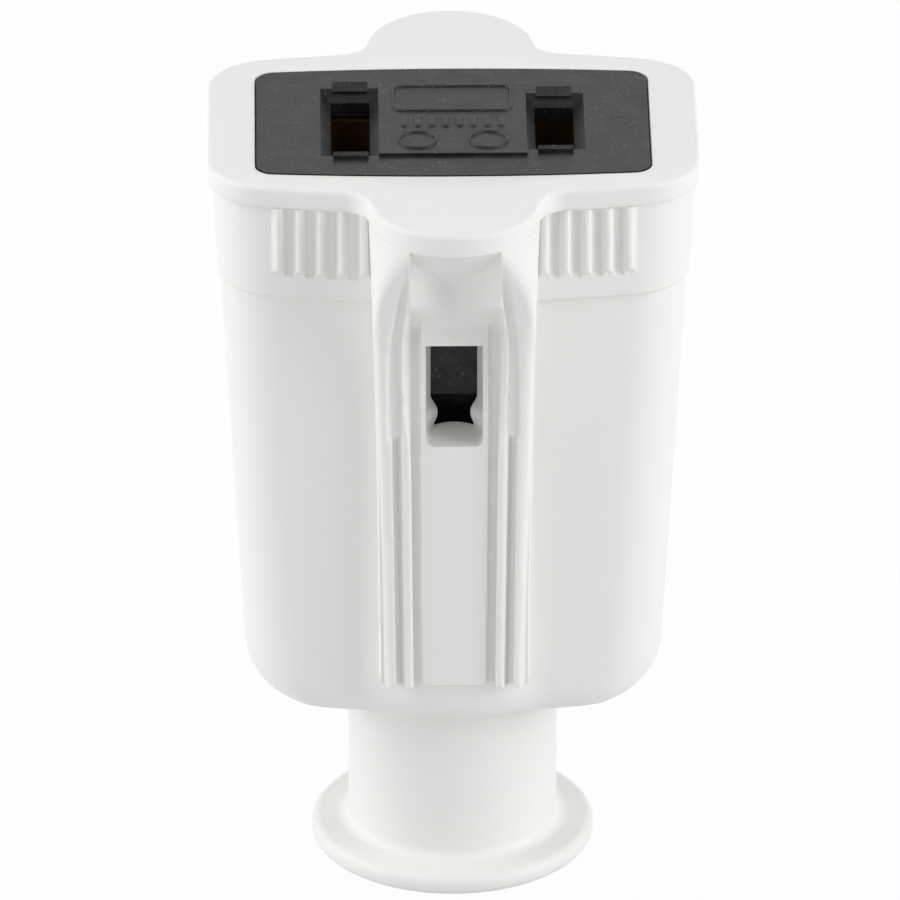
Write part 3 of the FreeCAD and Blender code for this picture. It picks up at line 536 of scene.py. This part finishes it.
    def front_depth(self, x, z, half_depth):
        """Depth of the front at every point of the outside."""
        s = self.s
        column_blend, wall_run, bend_start, bend_run = 0.4 * MM, 0.1 * MM, 2.0 * MM, 4.5 * MM
        scallop_depth, scallop_half, foot_run = 0.22 * MM, 0.5 * MM, 0.3 * MM
        face = half_depth - sag(s.bulge, x) + self.ridge_depth(x, z)
        bow = np.where(np.abs(x) < s.column_bulge, s.column_reach - sag(s.column_bulge, x), 0.0)
        face = soft_max(face, bow, column_blend)
        # The leg's inner wall rises from the channel out to the crest, which leans away from the
        # channel above the bend only.
        across = x / self.draw(z)
        inner = s.channel_half_width
        up = ease((z - s.leg_bend + bend_start) / bend_run)
        crest = inner + wall_run + (self.crest(z) - inner - wall_run) * up
        wall = ease((np.abs(across) - inner) / (crest - inner))
        middle, leg = self.middle_depth(across, z), self.leg_depth(across, z)
        legs = middle + (leg - middle) * wall
        # The legs end in a scallop under each ridge and stop at their outer edge.
        at = np.abs(x)
        off_inner = (at - 0.5 * (inner + s.groove_place)) / scallop_half
        off_outer = (at - 0.5 * (s.groove_place + s.leg_foot_half_width)) / scallop_half
        scallop = np.clip(np.minimum(off_inner ** 2, off_outer ** 2), 0.0, 1.0)
        stop = s.leg_foot + np.where(at > inner, scallop_depth * scallop, 0.0)
        on = ease((z - stop) / foot_run)
        side = 1.0 - ease((at - self.leg_half_width(z)) / (self.LEG_WALL - self.LEG_EDGE))
        return face + (np.maximum(legs, face) - face) * on * side

    def outside_heights(self):
        """Heights and insets of the outside's rings, closer together where the shape is fine."""
        s = self.s
        foot, curl = s.foot, s.foot_round
        ridge = self.top - s.ridge_drop
        leg_under, leg_over, window_under, fine = 0.2 * MM, 0.8 * MM, 1.4 * MM, 0.3 * MM
        ridge_under, ridge_over, rim_under = 0.1 * MM, 0.8 * MM, 0.5 * MM
        heights = steps(
            foot + curl, (s.leg_foot - leg_under, 3), (s.leg_foot + leg_over, self.FOOT_ROWS),
            (s.window_foot - window_under, 5), (s.window_foot, 4),
            (s.window_foot + s.web_shoulder, self.WAIST_ROWS), (s.window_top, self.HEAD_ROWS),
            (s.scoop_foot - fine, 4), (self.band_foot - fine, 9), (self.band_foot, 3),
            (self.band_foot + s.band_round, 5), (ridge - ridge_under, 3),
            (ridge + ridge_over, 12), (self.under_rim - rim_under, 14), (self.under_rim, 4))
        turn = np.linspace(0.0, math.pi / 2, self.ROUND_STEPS + 1)[:-1]
        self.window_start = len(turn) + int(np.argmin(np.abs(heights - s.window_foot)))
        return (np.concatenate([foot + curl - curl * np.cos(turn), heights])[:, None],
                np.concatenate([curl - curl * np.sin(turn), np.zeros(len(heights))])[:, None])

    def outside(self):
        """Rings from the foot's round up to the underside of the lip."""
        s = self.s
        z, inset = self.outside_heights()
        half_width, half_depth = self.skin(z)
        x = self.spread(z, self.side_end(half_width, s.bulge, s.corner))
        depth = self.front_depth(x, z, half_depth) - inset
        x, y = self.close(x, depth, half_width, half_depth, s.bulge, s.corner, inset)
        # The lower corners draw in further than the long edges, along a larger arc.
        under = np.clip(s.end_round - (z - s.foot), 0.0, s.end_round)
        more = np.clip(sag(s.end_round, under) - inset, 0.0, None)
        reach = (np.abs(x) - self.END_START) / (half_width - inset - self.END_START)
        return self.rings(x - np.sign(x) * more * ease(reach), y, z)

    def lip_front(self, inset):
        """x and depth of the lip's front: the lobe's arc, the hollow blend and the bowed side.

        The blend's centre lies a blend radius outside both the lobe and the bowed side.
        """
        s, at = self.s, self.at
        seat = self.reach - s.lobe_radius
        middle = s.half_depth - s.bulge
        from_side, from_lobe = s.bulge + s.lobe_blend, s.lobe_radius + s.lobe_blend
        gap = seat - middle
        along = (from_side ** 2 - from_lobe ** 2 + gap ** 2) / (2.0 * gap)
        blend_x, blend_y = math.sqrt(from_side ** 2 - along ** 2), middle + along
        join = math.atan2(blend_x, blend_y - seat)
        leave = math.atan2(blend_x, blend_y - middle)
        on_lobe, on_blend = at <= self.LEG_WALL, at <= self.BLEND_END

        start = math.asin(self.LEG_FIXED / s.lobe_radius)
        nose = np.where(at <= self.LEG_FIXED, np.arcsin(np.clip(at / s.lobe_radius, 0.0, 1.0)),
                        start + (join - start) * share_of(at, self.LEG_FIXED, self.LEG_WALL))
        radius = s.lobe_radius - inset
        lobe = radius * np.sin(nose), seat + radius * np.cos(nose)

        turn = join + (leave - join) * share_of(at, self.LEG_WALL, self.BLEND_END)
        radius = s.lobe_blend + inset
        blend = blend_x - radius * np.sin(turn), blend_y - radius * np.cos(turn)

        end = self.side_end(self.half_width, s.bulge, s.corner)
        side_x = self.along_side(blend_x - s.lobe_blend * math.sin(leave), end)
        side = side_x, s.half_depth - inset - sag(s.bulge, side_x)
        x, depth = (np.where(on_lobe, lobe[i], np.where(on_blend, blend[i], side[i]))
                    for i in (0, 1))
        return x * np.sign(self.station), depth

    def lip(self):
        """Rings of the lip: its small lower edge, its wall and its rounded upper edge."""
        s = self.s
        low, fade_start, fade_length = 0.08 * MM, 3.0 * MM, 2.5 * MM
        # The lower edge's middle row, as shares of its height and of its inset.
        row_up, row_in = 0.4, 0.3
        under, shoulder = self.under_rim, self.top - s.rim_round
        turn = np.linspace(0.0, math.pi / 2, self.ROUND_STEPS)
        heights = np.concatenate([
            [under, under + row_up * low, under + low],
            np.linspace(under + low, shoulder, 4)[1:-1],
            shoulder + s.rim_round * np.sin(turn)])[:, None]
        inset = np.concatenate([[low, row_in * low, 0.0, 0.0, 0.0],
                                s.rim_round * (1.0 - np.cos(turn))])[:, None]
        # At the lobe the lip's wall runs on into the legs, so its lower edge fades out there.
        fade = 1.0 - ease((self.at - fade_start) / fade_length)
        x, depth = self.lip_front(inset - np.where(heights < under + low, inset, 0.0) * fade)
        x, y = self.close(x + 0.0 * heights, depth, self.half_width, s.half_depth,
                          s.bulge, s.corner, inset)
        return self.rings(x, y, heights)

    def cavity_half(self, z):
        """Half width and half depth of the cavity at a height: a straight taper."""
        s = self.s
        half = taper((self.top - z) / (self.top - s.cavity_floor), BLOCK_HIGH[:2],
                     (s.cavity_foot_half_width, s.cavity_foot_half_depth))
        return [size + s.cavity_room for size in half]

    def cavity_depth(self, x, z):
        """Depth of the cavity's wall."""
        return self.cavity_half(z)[1] - sag(self.s.cavity_bulge, x)

    def cavity(self):
        """Rings down the cavity's wall; between the window's edges they match the outside's."""
        s = self.s
        edge, edge_rows, upper_rows = 0.12 * MM, 3, 3
        z = steps(self.top, (self.top - edge, edge_rows), (s.window_top, upper_rows),
                  (s.window_foot + s.web_shoulder, self.HEAD_ROWS),
                  (s.window_foot, self.WAIST_ROWS), (s.cavity_floor, 3))[:, None]
        self.cavity_window = edge_rows + upper_rows
        flare = edge * share_of(z, self.top - edge, self.top) ** 2
        half_width, half_depth = (half + flare for half in self.cavity_half(z))
        end = self.side_end(half_width, s.cavity_bulge, s.cavity_corner)
        x = np.where(self.at <= self.BLEND_END, self.at + 0.0 * z,
                     self.along_side(self.BLEND_END, end)) * np.sign(self.station)
        x, y = self.close(x, half_depth - sag(s.cavity_bulge, x), half_width, half_depth,
                          s.cavity_bulge, s.cavity_corner, 0.0)
        return self.rings(x, y, z)

    def round_rings(self, direction):
        """Rings of the bore, flange and neck: radius and height, turned about Z."""
        s = self.s
        turn = np.linspace(0.0, math.pi / 2, self.ROUND_STEPS)
        sine, cosine = np.sin(turn), np.cos(turn)
        edge, thick, curl = s.flange_radius, s.flange_thick, s.flange_round
        neck, fillet = s.neck_radius, s.neck_fillet
        outline = [
            (np.full(3, s.bore_radius), np.linspace(s.cavity_floor, 0.0, 3)),
            (np.array([0.5 * (s.bore_radius + edge)]), np.zeros(1)),
            (edge - curl + curl * sine, curl - curl * cosine),
            (edge - curl + curl * cosine, thick - curl + curl * sine),
            (neck + fillet - fillet * sine, thick + fillet - fillet * cosine),
            (np.full(3, neck), np.linspace(thick + fillet, s.foot, 4)[1:]),
        ]
        radius, height = (np.concatenate(part)[:, None] for part in zip(*outline))
        return self.rings(radius * direction[None, :, 0], radius * direction[None, :, 1], height)

    def window_loops(self, outer, way):
        """Loops of points through one window: its mouth, the web's face and the web's opening.

        outer has the skin's points round the window. The web's opening has straight sides that
        come in to a waist near its foot and out again to two tips, and an arched foot.
        """
        s = self.s
        arch_rise, head_room = 0.28 * MM, 0.2 * MM
        x, z = outer[:, 0] * way, outer[:, 2]
        over = z - s.window_foot
        wide, waist = s.web_half_width, s.web_waist_half_width
        low, high = s.web_waist, s.web_shoulder
        tip = wide - (wide - waist) * np.sin(share_of(over, 0.0, low) * math.pi / 2)
        straight = waist + (wide - waist) * ease(share_of(over, low, high))
        in_x = x / s.window_half_width * np.where(over < low, tip, straight)
        arch = arch_rise * (1.0 - (in_x / wide) ** 2)
        in_z = np.clip(z, s.window_foot + arch, s.window_top - head_room)
        mouth = self.cavity_depth(x, z) + s.web_thick + s.web_slope
        inside = self.cavity_depth(in_x, in_z)
        return [np.stack([at * way, -depth * way, height], axis=-1)
                for at, depth, height in ((x, mouth, z), (in_x, inside + s.web_thick, in_z),
                                          (in_x, inside, in_z))]

    def round_corners(self, loop):
        """A window's mouth with its two lower corners bent onto an arc.

        A point of the foot less than a radius from the corner goes onto the arc's first eighth of
        a turn, and a point of the side less than a radius up goes onto the next.
        """
        s = self.s
        radius = s.window_corner
        x, z = np.abs(loop[:, 0]), loop[:, 2]
        seat_x, seat_z = s.window_half_width - radius, s.window_foot + radius
        on_foot = share_of(x, seat_x, s.window_half_width)
        on_side = share_of(z, s.window_foot, seat_z)
        turn = (on_foot + on_side) * math.pi / 4
        near = (on_foot > 0.0) & (on_side < 1.0)
        bent = loop.copy()
        bent[:, 0] = np.where(near, seat_x + radius * np.sin(turn), x) * np.sign(loop[:, 0])
        bent[:, 2] = np.where(near, seat_z - radius * np.cos(turn), z)
        return bent

    def between(self, first, last, shares):
        """Rings on the straight way from one ring to another, at shares of it."""
        return first + (last - first) * np.array(shares)[:, None, None]

    def build(self):
        """All points and quads of the cover."""
        outside, lip, cavity = self.outside(), self.lip(), self.cavity()
        direction = outside[0][:, :2] / np.linalg.norm(outside[0][:, :2], axis=1)[:, None]
        round_ = self.round_rings(direction)
        points = np.concatenate([
            outside, lip, self.between(lip[-1], cavity[0], self.FACE_SHARES), cavity,
            self.between(cavity[-1], round_[0], self.UNDER_SHARES), round_,
            self.between(round_[-1], outside[0], self.UNDER_SHARES)])
        rows, columns = points.shape[:2]
        index = np.arange(rows * columns).reshape(rows, columns)
        keep = np.ones((rows, columns), dtype=bool)
        inside = np.flatnonzero(self.at[0] <= self.s.window_half_width + TINY)
        count = self.WAIST_ROWS + self.HEAD_ROWS
        skin_row = self.window_start
        wall_row = len(outside) + len(lip) + len(self.FACE_SHARES) + self.cavity_window
        flat = points.reshape(-1, 3)
        extra, extra_faces = [], []
        total = len(flat)
        for way, shift in ((1, 0), (-1, columns // 2)):
            a, b = inside[0] + shift, inside[-1] + shift
            keep[skin_row:skin_row + count, a:b] = False
            keep[wall_row:wall_row + count, a:b] = False
            # Round the window: along its foot, up its side, back along its head and down.
            along, up = np.arange(a, b), np.arange(count)
            loop_rows = np.concatenate([0 * along, up, 0 * along + count, count - up])
            loop_columns = np.concatenate([along, 0 * up + b, along[::-1] + 1, 0 * up + a])
            outer = index[skin_row + loop_rows, loop_columns]
            inner = index[wall_row + count - loop_rows, loop_columns]
            flat[outer] = self.round_corners(flat[outer])
            loops = self.window_loops(flat[outer], way)
            new = total + np.arange(len(loops) * len(outer)).reshape(len(loops), -1)
            rings = [outer, *new, inner]
            extra += loops
            total += new.size
            extra_faces += [
                np.stack([near, np.roll(near, -1), np.roll(far, -1), far], axis=-1)
                for near, far in zip(rings, rings[1:])]
        faces = grid_faces(rows, columns)[keep]
        return np.concatenate([flat] + extra), np.concatenate([faces] + extra_faces)


# Raised marks on the slotted face

def raised_line(path, half_width, height, base, solid=False):
    """A low round-topped line carried along a closed path of points and sideways directions.

    Its profile is the root of half a cosine, closed below. A solid one is highest at its inner
    edge, where the two sides of a narrow path meet.
    """
    profile_points = 7
    across = np.linspace(-1.0, 1.0, profile_points)
    wave = (across + 1.0) / 2.0 if solid else across
    rise = np.sqrt(np.clip(np.cos(wave * math.pi / 2), 0.0, 1.0)) * height
    rise = np.concatenate([rise, [-height]])
    across = np.concatenate([across, [0.0]]) * half_width
    points, sideways = path
    plan = points[:, None, :] + sideways[:, None, :] * across[None, :, None]
    z = base + rise[None, :] + 0.0 * plan[..., 0]
    grid = np.concatenate([plan, z[..., None]], axis=-1)
    return grid.reshape(-1, 3), grid_faces(*grid.shape[:2]).reshape(-1, 4)


def stadium(centre, half_length, half_width, radius, count=16):
    """A closed path round a rectangle with round corners, and its outward directions."""
    # A straight stretch of no length would make neighbouring corners share points.
    radius = min(radius, 0.999 * half_length)
    turn = np.linspace(0.0, math.pi / 2, count // 2)
    points, outward = [], []
    for quarter_turn, (x, y) in enumerate(((1, 1), (-1, 1), (-1, -1), (1, -1))):
        angle = turn + quarter_turn * math.pi / 2
        out = np.stack([np.cos(angle), np.sin(angle)], axis=-1)
        seat = np.array([x * (half_length - radius), y * (half_width - radius)])
        points.append(np.array(centre) + seat + out * radius)
        outward.append(out)
    return np.concatenate(points), np.concatenate(outward)


def joined(parts):
    """Points and quads of several closed surfaces as one."""
    points, faces, start = [], [], 0
    for part, quads in parts:
        points.append(part)
        faces.append(quads + start)
        start += len(part)
    return np.concatenate(points), np.concatenate(faces)


# Materials

def add(tree, kind, inputs=None, **settings):
    """Adds a shader node and returns its outputs; an input is linked where it gets a socket."""
    node = tree.nodes.new("ShaderNode" + kind)
    for name, value in settings.items():
        setattr(node, name, value)
    for name, value in (inputs or {}).items():
        if isinstance(value, bpy.types.NodeSocket):
            tree.links.new(value, node.inputs[name])
        else:
            node.inputs[name].default_value = value
    return node.outputs


def noise(tree, size_mm, detail, stretch=1.0):
    """Noise with features about so many millimetres across, stretched that many times along Z."""
    place = add(tree, "TexCoord")["Object"]
    place = add(tree, "Mapping", {"Vector": place, "Scale": (1.0, 1.0, 1.0 / stretch)})[0]
    return add(tree, "TexNoise", {
        "Vector": place, "Scale": 1.0 / (size_mm * MM), "Detail": detail})["Fac"]


def level(tree, pattern, low, high, start=0.0, end=1.0):
    """A pattern's values with the stretch start to end carried onto low to high, and clipped."""
    return add(tree, "MapRange", {"Value": pattern, "From Min": start, "From Max": end,
                                  "To Min": low, "To Max": high})["Result"]


def bump(tree, height, strength, depth_mm, **under):
    """A normal from a height pattern of a depth in millimetres, over another Normal if given."""
    return add(tree, "Bump", {
        "Height": height, "Strength": strength, "Distance": depth_mm * MM, **under})[0]


def mix_colours(tree, share, first, second):
    """The first colour where the share is 0 and the second where it is 1."""
    # The node's inputs 6 and 7 are the two colours, and its output 2 is the mixed one.
    return add(tree, "Mix", {0: share, 6: first, 7: second}, data_type="RGBA")[2]


def new_material(name, colour, roughness, metallic=0.0, **inputs):
    """A material with its shader, ready for patterns."""
    material = bpy.data.materials.new(name)
    material.use_nodes = True
    material.diffuse_color = colour
    tree = material.node_tree
    shader = next(node for node in tree.nodes if node.type == "BSDF_PRINCIPLED")
    inputs.update(Base_Color=colour, Roughness=roughness, Metallic=metallic)
    for key, value in inputs.items():
        shader.inputs[key.replace("_", " ")].default_value = value
    return material, tree, shader


def moulded_vinyl(name, finishes):
    """Soft PVC, injection moulded in a fine-blasted tool: a satin white with faint flow marks."""
    material, tree, shader = new_material(name, finishes.vinyl, roughness=0.5, IOR=1.53)
    # The blasted tool leaves a grain of about 0.25 mm, drawn a little coarser, at 0.35 mm.
    grain = bump(tree, noise(tree, size_mm=0.35, detail=3.0), strength=0.12, depth_mm=0.02)
    # Flow marks and handling waves of about 4 mm in the soft skin.
    normal = bump(tree, noise(tree, size_mm=4.0, detail=2.0), strength=0.25, depth_mm=0.06,
                  Normal=grain)
    tree.links.new(normal, shader.inputs["Normal"])
    return material


def block_plastic(name, finishes):
    """Hard black moulding compound: a satin gloss with a fine mottle, smudges and pale dust."""
    material, tree, shader = new_material(name, finishes.block, roughness=0.34, IOR=1.55,
                                          Specular_IOR_Level=0.2)
    # Mottle of the pressed compound, grains of about 0.2 mm, drawn at 0.25 mm.
    grain = noise(tree, size_mm=0.25, detail=4.0)
    # Dust specks of about 0.1 mm, drawn at 0.16 mm so that they show.
    dust = level(tree, noise(tree, size_mm=0.16, detail=1.0), low=0.0, high=0.6,
                 start=0.68, end=0.76)
    # Smudges of wear and handling, patches of about 1.5 mm.
    wear = level(tree, noise(tree, size_mm=1.5, detail=3.0), low=0.0, high=1.0,
                 start=0.35, end=0.65)
    ground = mix_colours(tree, wear, finishes.block, finishes.smudge)
    links = {"Base Color": mix_colours(tree, dust, ground, finishes.dust),
             "Roughness": level(tree, grain, low=0.26, high=0.46),
             "Normal": bump(tree, grain, strength=0.3, depth_mm=0.03)}
    for name, socket in links.items():
        tree.links.new(socket, shader.inputs[name])
    return material


def rolled_metal(name, colour, roughness, grain_mm):
    """Rolled or turned metal with fine drawn lines that vary its polish."""
    material, tree, shader = new_material(name, colour, roughness, metallic=1.0)
    # Drawn lines run along Z, so the pattern is stretched tenfold that way.
    lines = noise(tree, grain_mm, detail=2.0, stretch=10.0)
    rough = level(tree, lines, low=roughness - 0.03, high=roughness + 0.05)
    tree.links.new(rough, shader.inputs["Roughness"])
    return material


def seen_rays(tree):
    """1 where the camera looks at a thing straight, in gloss or through glass, and else 0."""
    path = add(tree, "LightPath")
    total = path["Is Camera Ray"]
    for name in ("Is Glossy Ray", "Is Transmission Ray"):
        total = add(tree, "Math", {0: total, 1: path[name]}, operation="MAXIMUM")[0]
    return total


def floor_material(name, finishes, share):
    """A plain painted board that the camera sees as white paper, with the shadow kept faint."""
    material, tree, shader = new_material(name, finishes.floor, roughness=0.8)
    output = next(node for node in tree.nodes if node.type == "OUTPUT_MATERIAL")
    glow = add(tree, "Emission", {"Color": WHITE, "Strength": 1.0})[0]
    share = add(tree, "Math", {0: seen_rays(tree), 1: share}, operation="MULTIPLY")[0]
    mix = add(tree, "MixShader", {0: share, 1: shader.outputs[0], 2: glow})[0]
    tree.links.new(mix, output.inputs["Surface"])
    return material


def finish(name, maker, *args):
    """The named material, made once."""
    return bpy.data.materials.get(name) or maker(name, *args)


def paint(node, material):
    """Gives a solid of the frame its material."""
    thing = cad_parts[node]
    thing.data.materials.clear()
    thing.data.materials.append(material)
    return thing


def soften(thing, width):
    """Closes a solid's loose triangles and rounds its sharp edges."""
    weld = thing.modifiers.new("close", "WELD")
    weld.merge_threshold = 0.002 * MM
    edges = thing.modifiers.new("edge_round", "BEVEL")
    edges.width = width
    edges.segments = 2
    edges.limit_method = "ANGLE"
    edges.angle_limit = math.radians(40.0)
    edges.use_clamp_overlap = True


# Operators

class OBJECT_OT_connector_cover(bpy.types.Operator):
    """Makes the moulded cover with its lip, lobes, legs, grip ridges, window, neck and flange"""
    bl_idname = "object.connector_cover"
    bl_label = "Moulded Cover"

    def execute(self, context):
        points, faces = CoverForm(context.scene.cover_sizes).build()
        material = finish("moulded_white_vinyl", moulded_vinyl, context.scene.finishes)
        piece = make_piece("moulded_cover", points, faces, material, "cover_vinyl")
        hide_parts("cover")
        return {"FINISHED"}


class OBJECT_OT_connector_block(bpy.types.Operator):
    """Finishes the contact block and the block's base in black moulding compound"""
    bl_idname = "object.connector_block"
    bl_label = "Contact Block"

    def execute(self, context):
        material = finish("moulded_black_compound", block_plastic, context.scene.finishes)
        soften(paint("contact_block", material), width=0.07 * MM)
        soften(paint("block_base", material), width=0.15 * MM)
        return {"FINISHED"}


class OBJECT_OT_connector_marks(bpy.types.Operator):
    """Adds the plain raised frame, the row of bars and the two pin rings on the slotted face"""
    bl_idname = "object.connector_marks"
    bl_label = "Face Marks"

    def execute(self, context):
        s = context.scene.mark_sizes
        base = COVER_HIGH[2] + s.line_base
        middle, half = (s.frame_near + s.frame_far) / 2, (s.frame_far - s.frame_near) / 2
        lines = [stadium((0.0, middle), s.frame_half_width, half, s.frame_corner)]
        lines += [stadium((x, -s.pin_front), s.pin_radius, s.pin_radius, s.pin_radius, count=32)
                  for x in (-s.pin_place, s.pin_place)]
        bars = [stadium(((number - (s.bars - 1) / 2) * s.bar_pitch, -s.bar_front),
                        s.bar_half_width, s.bar_half_length, s.bar_half_width)
                for number in range(s.bars)]
        parts = [raised_line(line, s.line_half_width, s.line_height, base) for line in lines]
        parts += [raised_line(bar, s.bar_half_width, s.line_height, base, solid=True)
                  for bar in bars]
        material = finish("moulded_black_compound", block_plastic, context.scene.finishes)
        make_piece("face_marks", *joined(parts), material, "block_plastic")
        return {"FINISHED"}


class OBJECT_OT_connector_fittings(bpy.types.Operator):
    """Finishes the brass contacts, the brass screw and the zinc-plated screws"""
    bl_idname = "object.connector_fittings"
    bl_label = "Contacts and Screws"

    def execute(self, context):
        finishes = context.scene.finishes
        # Drawn lines of about 0.15 mm on the rolled strip, and of 0.2 mm on the plated steel.
        for name, colour, roughness, grain_mm, nodes in (
                ("rolled_brass", finishes.brass, 0.32, 0.15,
                 ("neutral_contact", "line_contact", "line_screw")),
                ("zinc_plated_steel", finishes.zinc, 0.28, 0.2, ("neutral_screw", "base_screw"))):
            metal = finish(name, rolled_metal, colour, roughness, grain_mm)
            for node in nodes:
                paint(node, metal)
        return {"FINISHED"}


class SCENE_OT_connector_studio(bpy.types.Operator):
    """Sets up the pale floor, the softboxes, the room's light and the camera"""
    bl_idname = "scene.connector_studio"
    bl_label = "Studio"

    def face(self, thing, place, target):
        """Puts a lamp or camera at a place and turns it to a target."""
        thing.location = place
        way = thing.location.copy()
        way.x, way.y, way.z = (t - p for t, p in zip(target, place))
        thing.rotation_euler = way.to_track_quat("-Z", "Y").to_euler()

    def floor(self, s, finishes):
        """The floor, a hair under the flange."""
        corners = [(x * s.floor_half, y * s.floor_half, -s.floor_drop)
                   for x, y in ((-1, -1), (1, -1), (1, 1), (-1, 1))]
        mesh = bpy.data.meshes.new("floor")
        mesh.from_pydata(corners, [], [(0, 1, 2, 3)])
        mesh.materials.append(
            finish("painted_white_board", floor_material, finishes, s.floor_white))
        floor = new_object("floor", mesh)

    def room(self, s, scene):
        """A room of soft light that the camera sees as pure white."""
        world = bpy.data.worlds.new("studio_room")
        world.use_nodes = True
        scene.world = world
        tree = world.node_tree
        tree.nodes.clear()
        light, white = (add(tree, "Background", {"Color": WHITE, "Strength": strength})[0]
                        for strength in (s.room_light, 1.0))
        mix = add(tree, "MixShader", {0: seen_rays(tree), 1: light, 2: white})[0]
        add(tree, "OutputWorld", {"Surface": mix})

    def lamps(self, s):
        """Square lamps that face the object's middle."""
        for name, place, size, power in LAMPS:
            light = bpy.data.lights.new(name, "AREA")
            light.size = size
            light.energy = power * s.lamp_power
            self.face(new_object(name, light), place, (0.0, 0.0, COVER_HIGH[2] / 2))

    def camera(self, s, scene):
        """The camera, at its angles and distance from its aim."""
        data = bpy.data.cameras.new("camera")
        data.lens = s.lens
        data.sensor_width = 36.0
        data.clip_end = 20.0
        scene.camera = new_object("camera", data)
        aim = (s.aim_x, 0.0, s.aim_z)
        flat = s.distance * math.cos(s.elevation)
        self.face(scene.camera, (
            aim[0] + flat * math.sin(s.azimuth), aim[1] - flat * math.cos(s.azimuth),
            aim[2] + s.distance * math.sin(s.elevation)), aim)

    def execute(self, context):
        scene = context.scene
        s = scene.studio_sizes
        self.floor(s, scene.finishes)
        self.room(s, scene)
        self.lamps(s)
        self.camera(s, scene)
        scene.view_settings.view_transform = "Standard"
        return {"FINISHED"}


class VIEW3D_PT_connector(bpy.types.Panel):
    """Lists the connector's steps and sizes"""
    bl_idname = "VIEW3D_PT_connector"
    bl_label = "Connector"
    bl_space_type = "VIEW_3D"
    bl_region_type = "UI"
    bl_category = "Connector"

    def draw(self, context):
        for step in STEPS:
            self.layout.operator(step.bl_idname)
        for group, sizes in GROUPS:
            box = self.layout.box()
            for name in sizes.__annotations__:
                box.prop(getattr(context.scene, group), name)


GROUPS = (("cover_sizes", CoverSizes), ("mark_sizes", MarkSizes), ("finishes", Finishes),
          ("studio_sizes", StudioSizes))
STEPS = (OBJECT_OT_connector_cover, OBJECT_OT_connector_block, OBJECT_OT_connector_marks,
         OBJECT_OT_connector_fittings, SCENE_OT_connector_studio)


def register():
    for name, group in GROUPS:
        bpy.utils.register_class(group)
        setattr(bpy.types.Scene, name, PointerProperty(type=group))
    for step in STEPS:
        bpy.utils.register_class(step)
    bpy.utils.register_class(VIEW3D_PT_connector)


def unregister():
    bpy.utils.unregister_class(VIEW3D_PT_connector)
    for step in reversed(STEPS):
        bpy.utils.unregister_class(step)
    for name, group in reversed(GROUPS):
        delattr(bpy.types.Scene, name)
        bpy.utils.unregister_class(group)


def main():
    register()
    bpy.ops.object.connector_cover()
    bpy.ops.object.connector_block()
    bpy.ops.object.connector_marks()
    bpy.ops.object.connector_fittings()
    bpy.ops.scene.connector_studio()


if __name__ == "__main__":
    main()
